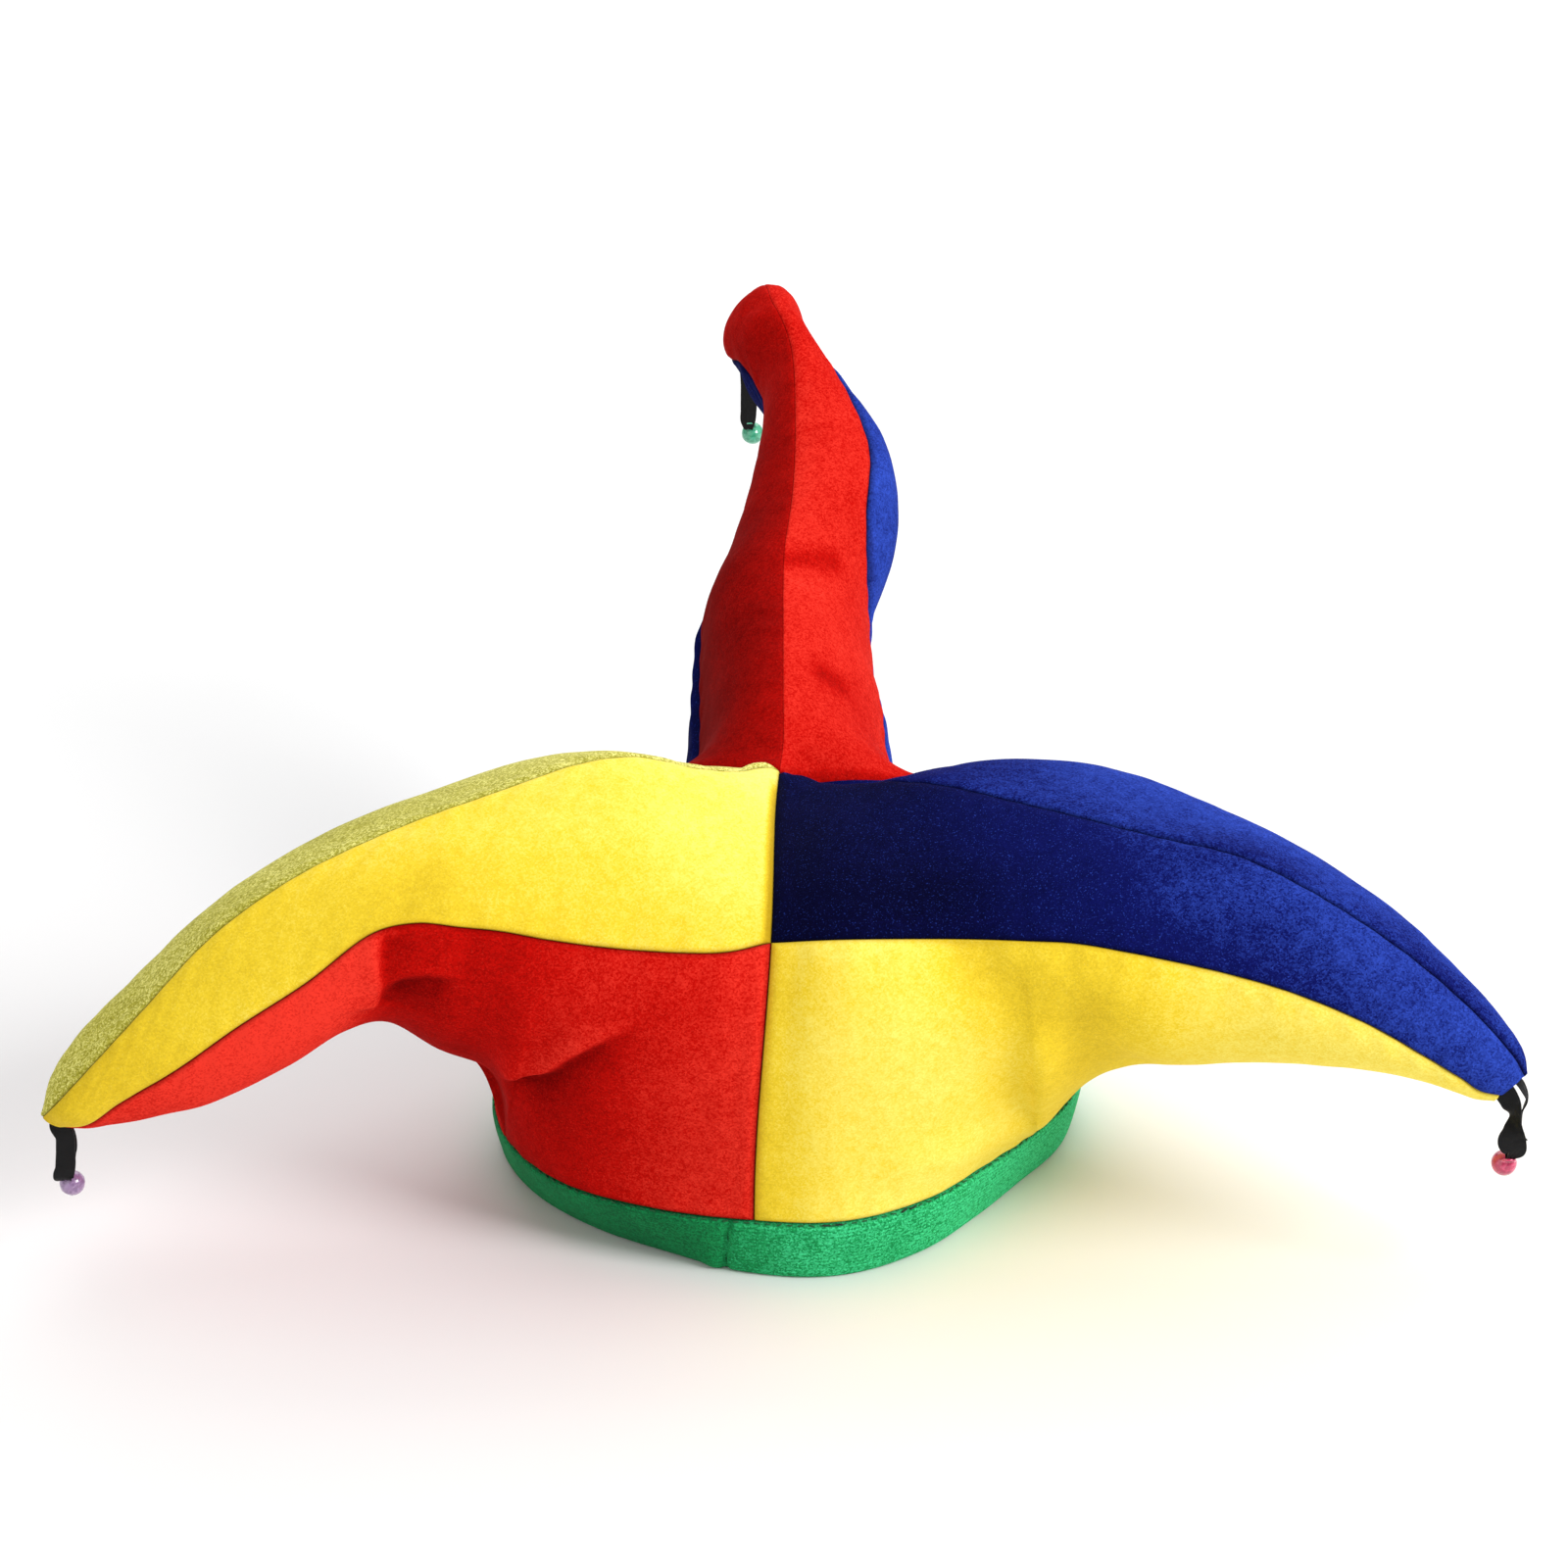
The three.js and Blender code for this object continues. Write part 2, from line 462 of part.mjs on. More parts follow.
// Joins grids of outer and inner points into one closed wall. Points that two grids share are merged,
// and the wall is closed along every edge that only one face has.
function wallFromGrids(grids) {
  const outer = [];
  const inner = [];
  const known = new Map();
  const faces = [];
  const indexOf = (grid, k) => {
    const key = grid.outer[k]
      .toArray()
      .map((v) => v.toFixed(3))
      .join();
    if (!known.has(key)) {
      known.set(key, outer.length);
      outer.push(grid.outer[k]);
      inner.push(grid.inner[k]);
    }
    return known.get(key);
  };
  for (const grid of grids) {
    const rows = grid.outer.length / grid.columns;
    for (let i = 0; i + 1 < rows; i++) {
      for (let j = 0; j + 1 < grid.columns; j++) {
        const k = i * grid.columns + j;
        const [a, b, c, d] = [k, k + 1, k + grid.columns + 1, k + grid.columns].map((n) =>
          indexOf(grid, n),
        );
        const pair = [
          [a, b, c],
          [a, c, d],
        ];
        for (const face of pair) faces.push(grid.flipped ? face.reverse() : face);
      }
    }
  }
  const open = new Map();
  for (const [a, b, c] of faces) {
    for (const [from, to] of [
      [a, b],
      [b, c],
      [c, a],
    ]) {
      if (open.has(to + "_" + from)) open.delete(to + "_" + from);
      else open.set(from + "_" + to, [from, to]);
    }
  }
  const count = outer.length;
  const triangles = faces.flatMap(([a, b, c]) => [a, b, c, count + c, count + b, count + a]);
  for (const [from, to] of open.values()) {
    triangles.push(to, from, count + from, to, count + from, count + to);
  }
  return facingOut([...outer, ...inner], triangles);
}

// A geometry from points and triangles, turned round if its faces point inward.
function facingOut(points, triangles) {
  let volume = 0;
  for (let i = 0; i < triangles.length; i += 3) {
    const [a, b, c] = triangles.slice(i, i + 3).map((k) => points[k]);
    volume += a.dot(b.clone().cross(c));
  }
  const index = volume < 0 ? triangles.toReversed() : triangles;
  const geometry = new THREE.BufferGeometry().setFromPoints(points).setIndex(index);
  geometry.computeVertexNormals();
  return geometry;
}

const hat = new THREE.Group();
function addPiece(name, geometry, material) {
  const mesh = new THREE.Mesh(geometry, material);
  mesh.name = name;
  hat.add(mesh);
  return mesh;
}

// Panels of a horn: two upper halves that meet at the ridge seam, one lower panel.
function addHorn(name, upperNames, upperMaterial, lowerMaterial) {
  const lines = hornLines(HORNS[name], RIDGE_SLOPE[name]);
  ["near", "far"].forEach((half, i) => {
    const upper = halfPanel(name + "_" + half + "_upper", lines, half, true);
    addPiece(upperNames[i], wallFromGrids([upper]), upperMaterial);
  });
  const near = halfPanel(name + "_near_lower", lines, "near", false);
  const far = halfPanel(name + "_far_lower", lines, "far", false);
  far.flipped = true;
  addPiece(name + "_lower_panel", wallFromGrids([near, far]), lowerMaterial);
  return lines;
}

// Folded band round the head opening, flat underneath.
function bandGeometry() {
  const section = [
    [0, 0],
    [BAND_THICKNESS, 0],
    [BAND_THICKNESS, BAND_HEIGHT],
    [BAND_ROUNDING / 2, BAND_HEIGHT],
    [0, BAND_HEIGHT - BAND_ROUNDING],
  ];
  const points = [];
  const triangles = [];
  for (let i = 0; i < BAND_STEPS; i++) {
    const angle = (360 * i) / BAND_STEPS;
    section.forEach(([inset, height]) => points.push(brimPoint(angle, inset, height)));
    section.forEach((_, j) => {
      const n = section.length;
      const next = (i + 1) % BAND_STEPS;
      const k = (j + 1) % n;
      triangles.push(i * n + j, next * n + j, next * n + k, i * n + j, next * n + k, i * n + k);
    });
  }
  return facingOut(points, triangles);
}

// Solids for joining and cutting
function asSolid(geometry) {
  const bare = geometry.clone();
  bare.deleteAttribute("normal");
  bare.deleteAttribute("uv");
  const merged = mergeVertices(bare, 1e-4);
  return new wasm.Manifold(
    new wasm.Mesh({
      numProp: 3,
      vertProperties: merged.attributes.position.array,
      triVerts: new Uint32Array(merged.index.array),
    }),
  );
}
function asGeometry(solid) {
  const mesh = solid.getMesh();
  const geometry = new THREE.BufferGeometry();
  geometry.setAttribute("position", new THREE.BufferAttribute(mesh.vertProperties, 3));
  geometry.setIndex(new THREE.BufferAttribute(mesh.triVerts, 1));
  geometry.computeVertexNormals();
  return geometry;
}

// Jingle bell with its eye's centre at the origin: a thin ball, a cross slot and a wire eye.
const BELL_CENTRE = -(BELL_RADIUS + EYE_RADIUS - EYE_WIRE / 2);
function bellGeometry() {
  const ball = (radius) => {
    const profile = [];
    for (let i = 0; i <= BALL_RINGS; i++) {
      const turn = -Math.PI / 2 + (Math.PI * i) / BALL_RINGS;
      profile.push(new THREE.Vector2(radius * Math.cos(turn), radius * Math.sin(turn)));
    }
    profile[0].x = 0;
    profile[BALL_RINGS].x = 0;
    const turned = new THREE.LatheGeometry(profile, BALL_SIDES).rotateX(Math.PI / 2);
    return turned.translate(0, 0, BELL_CENTRE);
  };
  const slot = new THREE.BoxGeometry(BELL_RADIUS * SLOT_SPAN, BELL_SLOT, BELL_RADIUS);
  slot.translate(0, 0, BELL_CENTRE - BELL_RADIUS);
  const eye = new THREE.TorusGeometry(EYE_RADIUS, EYE_WIRE, WIRE_SIDES, BALL_SIDES);
  eye.rotateX(Math.PI / 2);
  return asGeometry(
    asSolid(ball(BELL_RADIUS))
      .add(asSolid(eye))
      .subtract(asSolid(ball(BELL_RADIUS - BELL_WALL)))
      .subtract(asSolid(slot))
      .subtract(asSolid(slot.clone().rotateZ(Math.PI / 2))),
  );
}

// Ribbon loop: out of the tip, down one side, through the bell's eye and back up the other side.
function ribbonGeometry(tip, outOfTip, eye, twist) {
  const strandGap = RIBBON_THICKNESS / 2 + SEAM_GAP / 2;
  const depth = new THREE.Vector3(0, 1, 0);
  const tucked = moved(tip, outOfTip, -RIBBON_TUCK);
  const strand = (sign) => [
    moved(tucked, depth, sign * strandGap),
    moved(tip, depth, sign * strandGap),
    ...RIBBON_BULGE.map(({ at, out }) => moved(mix(tip, eye, at), depth, sign * out)),
  ];
  const path = new THREE.CatmullRomCurve3([...strand(-1), eye, ...strand(1).toReversed()]);
  const widths = [
    ...RIBBON_WIDTHS.map(({ at, width }) => [at, width]),
    ...RIBBON_WIDTHS.map(({ at, width }) => [1 - at, width]).toReversed(),
  ];
  const steps = RIBBON_STEPS;
  const points = [];
  const triangles = [];
  for (let i = 0; i <= steps; i++) {
    const share = i / steps;
    const centre = path.getPoint(share);
    const run = path.getTangent(share);
    const turn = THREE.MathUtils.degToRad(twist) * Math.sin(2 * Math.PI * share) ** 2;
    const flat = new THREE.Vector3(1, 0, 0).applyAxisAngle(run, turn);
    flat.addScaledVector(run, -flat.dot(run)).normalize();
    const thick = run.clone().cross(flat).multiplyScalar(RIBBON_THICKNESS / 2);
    const half = through(widths, share) / 2;
    for (const [a, b] of [
      [-1, -1],
      [1, -1],
      [1, 1],
      [-1, 1],
    ]) {
      points.push(moved(centre, flat, a * half).addScaledVector(thick, b));
    }
    if (i === steps) break;
    for (let j = 0; j < 4; j++) {
      const [a, b] = [i * 4 + j, i * 4 + ((j + 1) % 4)];
      triangles.push(a, b, b + 4, a, b + 4, a + 4);
    }
  }
  const last = steps * 4;
  triangles.push(0, 2, 1, 0, 3, 2, last, last + 1, last + 2, last, last + 2, last + 3);
  return facingOut(points, triangles);
}

// A ribbon and its bell on a horn's tip.
function addDrop(name, lines, material) {
  const { drop, lean, tilt, twist } = DROPS[name];
  const middleAt = (place) => mix(lines.ridge(place), lines.under(place), 0.5);
  const tip = middleAt(1);
  const outOfTip = between(middleAt(1 - PROBE), tip).normalize();
  const eye = moved(tip, DOWN, drop).add(new THREE.Vector3(lean, 0, 0));
  addPiece("ribbon_" + name, ribbonGeometry(tip, outOfTip, eye, twist), BLACK);
  const bell = addPiece("bell_" + name, bellGeometry(), material);
  bell.position.copy(eye);
  bell.rotation.y = THREE.MathUtils.degToRad(tilt);
}

addPiece("brim_band", bandGeometry(), GREEN);
const leftLines = addHorn("left", ["left_horn_top_front", "left_horn_top_back"], YELLOW, RED);
const rightLines = addHorn("right", ["right_horn_top_front", "right_horn_top_back"], BLUE, YELLOW);
const backLines = addHorn("back", ["back_horn_top_right", "back_horn_top_left"], RED, BLUE);
addDrop("left", leftLines, LILAC);
addDrop("right", rightLines, PINK);
addDrop("back", backLines, MINT);

// The part's origin is the middle of the underside of its bounding box.
hat.updateMatrixWorld(true);
const box = new THREE.Box3().setFromObject(hat, true);
const middle = box.getCenter(new THREE.Vector3());
hat.position.set(-middle.x, -middle.y, -box.min.z);

export default hat;
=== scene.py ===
"""Dresses the three-horned jester hat: velour panels, folded band, satin ribbons and enamel bells."""

import logging
import math
from collections.abc import Sequence
from dataclasses import dataclass
from enum import Enum

import bmesh
import bpy
import numpy as np
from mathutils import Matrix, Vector


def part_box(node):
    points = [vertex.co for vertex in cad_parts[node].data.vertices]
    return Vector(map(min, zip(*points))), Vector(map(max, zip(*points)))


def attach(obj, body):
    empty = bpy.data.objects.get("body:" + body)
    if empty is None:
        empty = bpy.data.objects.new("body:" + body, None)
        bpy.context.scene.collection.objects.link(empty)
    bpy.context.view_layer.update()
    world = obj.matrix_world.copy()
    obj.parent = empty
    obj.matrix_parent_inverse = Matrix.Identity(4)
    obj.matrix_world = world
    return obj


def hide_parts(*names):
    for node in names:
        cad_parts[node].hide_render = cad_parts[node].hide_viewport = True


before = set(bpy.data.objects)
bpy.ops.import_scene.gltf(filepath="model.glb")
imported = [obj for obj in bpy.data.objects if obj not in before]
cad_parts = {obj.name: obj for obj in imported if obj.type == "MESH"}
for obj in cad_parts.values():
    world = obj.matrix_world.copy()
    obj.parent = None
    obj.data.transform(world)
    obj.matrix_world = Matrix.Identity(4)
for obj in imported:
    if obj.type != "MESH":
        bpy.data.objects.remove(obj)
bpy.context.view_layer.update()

LOG = logging.getLogger("jester_hat")
MM = 0.001  # metres in a millimetre; the tables below are in millimetres and in shares of named sizes
UP = np.array([0.0, 0.0, 1.0])
NO_SEAM = 50.0  # a distance in millimetres that is out of every seam's reach
Array = np.ndarray
Triple = tuple[float, float, float]


# Small helpers on rows of points


def unit(vectors: Array) -> Array:
    """Returns the vectors at length one."""
    lengths = np.linalg.norm(vectors, axis=-1, keepdims=True)
    return vectors / np.maximum(lengths, 1e-12)


def dot(a: Array, b: Array) -> Array:
    """Returns the dot product along the last axis, kept as a column."""
    return np.sum(a * b, axis=-1, keepdims=True)


def mix(a: Array, b: Array, share: Array | float) -> Array:
    """Returns the blend of a and b at a share."""
    return a * (1 - share) + b * share


def eased(value: Array | float, start: float, end: float) -> Array:
    """Returns 0 before start, 1 after end and a smooth step between."""
    t = np.clip((np.asarray(value, float) - start) / (end - start), 0, 1)
    return t * t * (3 - 2 * t)


def compass(degrees: Array | float) -> Array:
    """Returns the level unit vector at a compass angle."""
    turn = np.radians(np.asarray(degrees, float))
    return np.stack([np.cos(turn), np.sin(turn), np.zeros_like(turn)], axis=-1)


def smooth_rows(places: Sequence[float], values: Array, at: Array) -> Array:
    """Interpolates a table by cubic pieces that pass through every row.

    Args:
        places: the rows' places, in rising order.
        values: one value or point for each row.
        at: the places to read.

    Returns:
        One value or point for each place in at.
    """
    knots = np.asarray(places, float)
    table = np.asarray(values, float).reshape(len(knots), -1)
    spans = np.diff(knots)
    slopes = np.diff(table, axis=0) / spans[:, None]
    tangents = np.empty_like(table)
    tangents[0] = slopes[0]
    tangents[-1] = slopes[-1]
    before = spans[:-1, None]
    after = spans[1:, None]
    tangents[1:-1] = (slopes[:-1] * after + slopes[1:] * before) / (before + after)
    k = np.clip(np.searchsorted(knots, at, side="right") - 1, 0, len(spans) - 1)
    t = ((at - knots[k]) / spans[k])[:, None]
    span = spans[k][:, None]
    rise = t * t * (3 - 2 * t)
    first = t * (1 - t) ** 2 * span * tangents[k]
    second = t * t * (t - 1) * span * tangents[k + 1]
    return table[k] * (1 - rise) + table[k + 1] * rise + first + second


def steady_rows(directions: Array, reach: int) -> Array:
    """Evens out directions over the rows beside each row, so that a kinked row can't turn them over.

    Args:
        directions: a grid of unit directions.
        reach: how many rows count on each side.

    Returns:
        The evened unit directions.
    """
    padded = np.pad(directions, ((reach, reach), (0, 0), (0, 0)), mode="edge")
    count = len(directions)
    return unit(sum(padded[k : k + count] for k in range(2 * reach + 1)))


def soft_waves(points: Array, length: float, seed: int) -> Array:
    """Gives a smooth uneven field over space, for cloth that is never quite regular.

    Args:
        points: places in millimetres.
        length: the typical distance between two swells.
        seed: fixes the pattern.

    Returns:
        A value between about -1 and 1 for each point.
    """
    rng = np.random.default_rng(seed)
    total = np.zeros(points.shape[:-1])
    count = 7
    for _ in range(count):
        direction = unit(rng.normal(size=3))
        wave = length * rng.uniform(0.7, 1.5)
        total += np.sin(points @ direction * (2 * math.pi / wave) + rng.uniform(0, 2 * math.pi))
    return total / count


def arc(
    start: Array,
    leaving: Array,
    end: Array,
    arriving: Array,
    shares: Array,
    grip: Array | float = 1.0,
) -> Array:
    """Draws cubic arcs, one for each row, that leave and arrive along given directions.

    Args:
        start: first points, one a row.
        leaving: unit directions at the first points.
        end: last points.
        arriving: unit directions at the last points.
        shares: where to read each arc, rows by columns.
        grip: under 1 tightens an arc's last bend.

    Returns:
        Points, rows by columns by 3.
    """
    widest_turn = 2.6
    least_turn = 0.01
    turn = np.clip(np.arccos(np.clip(dot(leaving, arriving), -1, 1)), least_turn, widest_turn)
    handle = (4 / 3) * (np.tan(turn / 4) / (2 * np.sin(turn / 2)))
    reach = np.linalg.norm(end - start, axis=-1, keepdims=True) * handle
    first = (start + leaving * reach)[:, None, :]
    second = (end - arriving * reach * grip)[:, None, :]
    t = shares[:, :, None]
    a = start[:, None, :] * (1 - t) ** 3
    b = first * 3 * t * (1 - t) ** 2
    c = second * 3 * t * t * (1 - t)
    return a + b + c + end[:, None, :] * t**3


# The hat's sizes and tables


class Half(Enum):
    """The two halves of a horn, on either side of its ridge seam."""

    NEAR = "near"
    FAR = "far"


class Cloth(Enum):
    """The upper and lower cloth of a horn, which meet at its side seams."""

    UPPER = "upper"
    LOWER = "lower"


@dataclass(frozen=True)
class HatSizes:
    """Named sizes that the horns share, in millimetres and degrees."""

    crown_height: float = 137.0
    crown_offset: float = -4.0
    wall: float = 3.0
    tip_wall: float = 1.2
    trim_start: float = 0.8
    valley_slope: float = 10.0
    valley_ease: float = 0.14
    foot_flare: float = 42.0
    flare_start: float = 0.2
    armpit: float = 0.375
    armpit_blend: float = 0.06
    armpit_grip: float = 0.3
    armpit_before: float = 0.15
    armpit_after: float = 0.2
    foot_lift: float = 0.3
    foot_inset: float = 1.0


@dataclass(frozen=True)
class BrimOutline:
    """The band's outside seen from above, as shares of its radius by compass angle."""

    radius: float = 96.0
    band_height: float = 21.0
    band_thickness: float = 5.0
    rows: tuple[Triple, ...] = (
        *((-180, 1.0, 1.03), (-160, 0.94, 1.03), (-140, 0.872, 1.01), (-120, 0.835, 0.945)),
        *((-100, 0.868, 0.912), (-80, 0.888, 0.925), (-60, 0.842, 0.888), (-40, 0.795, 0.845)),
        *((-20, 0.815, 0.884), (0, 0.93, 0.985), (20, 1.03, 1.06), (50, 1.03, 1.05)),
        *((90, 1.0, 1.02), (130, 1.0, 1.02), (160, 1.01, 1.03)),
    )

    def point(self, angle: Array, inset: Array | float, height: Array | float) -> Array:
        """Finds points of the band's outside.

        Args:
            angle: compass angles in degrees.
            inset: how far inward of the outside, in millimetres.
            height: height above the rim, in millimetres.

        Returns:
            One point for each angle.
        """
        table = np.array(self.rows)
        before = table[-2:] - [360, 0, 0]
        after = table[:2] + [360, 0, 0]
        table = np.vstack([before, table, after])
        angles = np.asarray(angle, float)
        turned = np.mod(angles + 180, 360) - 180
        shares = smooth_rows(table[:, 0], table[:, 1:], turned.ravel()).reshape(*angles.shape, 2)
        rise = np.asarray(height, float) / self.band_height
        share = shares[..., 0] * (1 - rise) + shares[..., 1] * rise
        points = compass(angles) * (self.radius * share - inset)[..., None]
        points[..., 2] = height
        return points


@dataclass(frozen=True)
class Valley:
    """A seam between two horns: its angles, and where the side seams cross it."""

    angle: float
    foot: float
    radius: float
    rise: float

    def crossing(self, sizes: HatSizes, brim: BrimOutline) -> Array:
        """Returns the point where the side seams cross the valley."""
        return compass(self.angle) * brim.radius * self.radius + UP * sizes.crown_height * self.rise


@dataclass(frozen=True)
class Section:
    """One row of a horn's table: each place is along, rise and side, as shares of named sizes."""

    at: float
    ridge: Triple
    near: Triple
    far: Triple
    under: Triple | None = None


LEFT_SECTIONS = (
    Section(0.125, (0.12, 1.048, 0.02), (0.2, 0.825, 0.7), (0.245, 0.79, 0.58)),
    Section(0.25, (0.215, 1.108, 0.02), (0.305, 0.832, 0.6), (0.33, 0.82, 0.53)),
    Section(0.375, (0.305, 1.112, 0.03), (0.4, 0.857, 0.51), (0.405, 0.86, 0.49)),
    Section(0.45, (0.365, 1.094, 0.04), (0.45, 0.875, 0.46), (0.45, 0.852, 0.46), (0.434, 0.36, 0)),
    Section(0.52, (0.425, 1.075, 0.05), (0.5, 0.888, 0.42), (0.5, 0.853, 0.42), (0.502, 0.46, 0)),
    Section(0.583, (0.49, 1.055, 0.06), (0.55, 0.902, 0.385), (0.55, 0.856, 0.385), (0.565, 0.548, 0)),
    Section(0.65, (0.577, 1.014, 0.06), (0.606, 0.88, 0.35), (0.606, 0.856, 0.35), (0.63, 0.545, 0)),
    Section(0.725, (0.68, 0.948, 0.065), (0.687, 0.775, 0.325), (0.69, 0.795, 0.325), (0.707, 0.482, 0)),
    Section(0.8, (0.785, 0.842, 0.08), (0.775, 0.67, 0.275), (0.78, 0.718, 0.28), (0.797, 0.422, 0)),
    Section(0.87, (0.88, 0.692, 0.1), (0.854, 0.56, 0.215), (0.866, 0.622, 0.22), (0.862, 0.405, 0)),
    Section(0.92, (0.951, 0.575, 0.11), (0.915, 0.48, 0.15), (0.934, 0.543, 0.16), (0.915, 0.393, 0)),
    Section(0.96, (0.993, 0.488, 0.08), (0.952, 0.42, 0.1), (0.97, 0.472, 0.11), (0.94, 0.392, 0)),
    Section(1, (1.008, 0.43, 0.01), (0.98, 0.4, 0.036), (0.985, 0.415, 0.036), (0.97, 0.39, 0)),
)

RIGHT_SECTIONS = (
    Section(0.125, (0.11, 1.03, 0.04), (0.185, 0.87, 0.74), (0.245, 0.83, 0.58)),
    Section(0.25, (0.214, 1.065, 0.085), (0.296, 0.862, 0.6), (0.33, 0.91, 0.54)),
    Section(0.375, (0.33, 1.067, 0.12), (0.4, 0.872, 0.54), (0.405, 0.945, 0.5)),
    Section(0.45, (0.4, 1.063, 0.13), (0.46, 0.872, 0.5), (0.455, 0.935, 0.47), (0.43, 0.36, 0)),
    Section(0.52, (0.465, 1.055, 0.135), (0.518, 0.862, 0.47), (0.51, 0.915, 0.44), (0.485, 0.43, 0)),
    Section(0.583, (0.53, 1.046, 0.135), (0.576, 0.845, 0.432), (0.565, 0.892, 0.41), (0.55, 0.462, 0)),
    Section(0.65, (0.617, 1.032, 0.12), (0.646, 0.82, 0.385), (0.635, 0.855, 0.37), (0.638, 0.5, 0)),
    Section(0.725, (0.712, 0.976, 0.11), (0.728, 0.781, 0.333), (0.718, 0.818, 0.32), (0.736, 0.522, 0)),
    Section(0.8, (0.812, 0.886, 0.095), (0.815, 0.715, 0.27), (0.808, 0.757, 0.262), (0.823, 0.53, 0)),
    Section(0.87, (0.888, 0.785, 0.06), (0.885, 0.634, 0.205), (0.886, 0.678, 0.2), (0.889, 0.52, 0)),
    Section(0.92, (0.946, 0.7, 0.05), (0.93, 0.572, 0.15), (0.94, 0.612, 0.15), (0.928, 0.5, 0)),
    Section(0.96, (0.986, 0.622, 0.035), (0.95, 0.53, 0.1), (0.972, 0.562, 0.1), (0.945, 0.487, 0)),
    Section(1, (1, 0.56, 0), (0.97, 0.505, 0.04), (0.988, 0.53, 0.04), (0.962, 0.482, 0)),
)

BACK_SECTIONS = (
    Section(0.125, (0.055, 1.03, -0.03), (0.18, 0.785, 0.5), (0.18, 0.785, 0.5)),
    Section(0.25, (0.12, 1.085, -0.03), (0.21, 0.8, 0.372), (0.21, 0.8, 0.362)),
    Section(0.375, (0.19, 1.135, -0.03), (0.26, 0.84, 0.33), (0.26, 0.84, 0.325)),
    Section(0.45, (0.255, 1.175, -0.03), (0.325, 0.88, 0.32), (0.325, 0.88, 0.325), (0.423, 0.37, 0)),
    Section(0.52, (0.32, 1.215, -0.03), (0.388, 0.93, 0.29), (0.388, 0.94, 0.325), (0.462, 0.59, 0)),
    Section(0.583, (0.395, 1.265, -0.025), (0.457, 1.02, 0.275), (0.457, 1.03, 0.31), (0.52, 0.755, 0.02)),
    Section(0.65, (0.49, 1.34, 0), (0.514, 1.25, 0.27), (0.545, 1.1, 0.22), (0.6, 0.905, 0.13)),
    Section(0.725, (0.61, 1.44, 0.01), (0.624, 1.372, 0.28), (0.65, 1.24, 0.135), (0.69, 1.065, 0.17)),
    Section(0.8, (0.73, 1.562, -0.005), (0.741, 1.49, 0.16), (0.764, 1.36, 0.095), (0.79, 1.22, 0.08)),
    Section(0.87, (0.82, 1.636, -0.075), (0.81, 1.5, 0.075), (0.835, 1.44, 0.185), (0.865, 1.33, -0.09)),
    Section(0.92, (0.902, 1.616, -0.105), (0.88, 1.47, 0.03), (0.895, 1.412, 0.22), (0.892, 1.365, -0.12)),
    Section(0.96, (0.96, 1.508, -0.14), (0.93, 1.425, -0.04), (0.945, 1.387, 0.225), (0.922, 1.365, -0.14)),
    Section(1, (0.985, 1.39, -0.15), (0.975, 1.375, -0.114), (0.98, 1.37, 0.186), (0.962, 1.365, -0.15)),
)

SIZES = HatSizes()
BRIM = BrimOutline()
FRONT_VALLEY = Valley(angle=-95, foot=-98, radius=0.79, rise=0.835)
RIGHT_VALLEY = Valley(angle=31, foot=30, radius=0.8, rise=0.77)
LEFT_VALLEY = Valley(angle=149, foot=150, radius=0.8, rise=0.77)


@dataclass(frozen=True)
class HornSection:
    """What the arcs of one half of a horn need, as arrays with a row for each place along it."""

    ridge: Array
    seam: Array
    bottom: Array
    centre: Array
    across: Array
    ridge_leaving: Array
    seam_passing: Array
    bottom_arriving: Array
    grip: Array


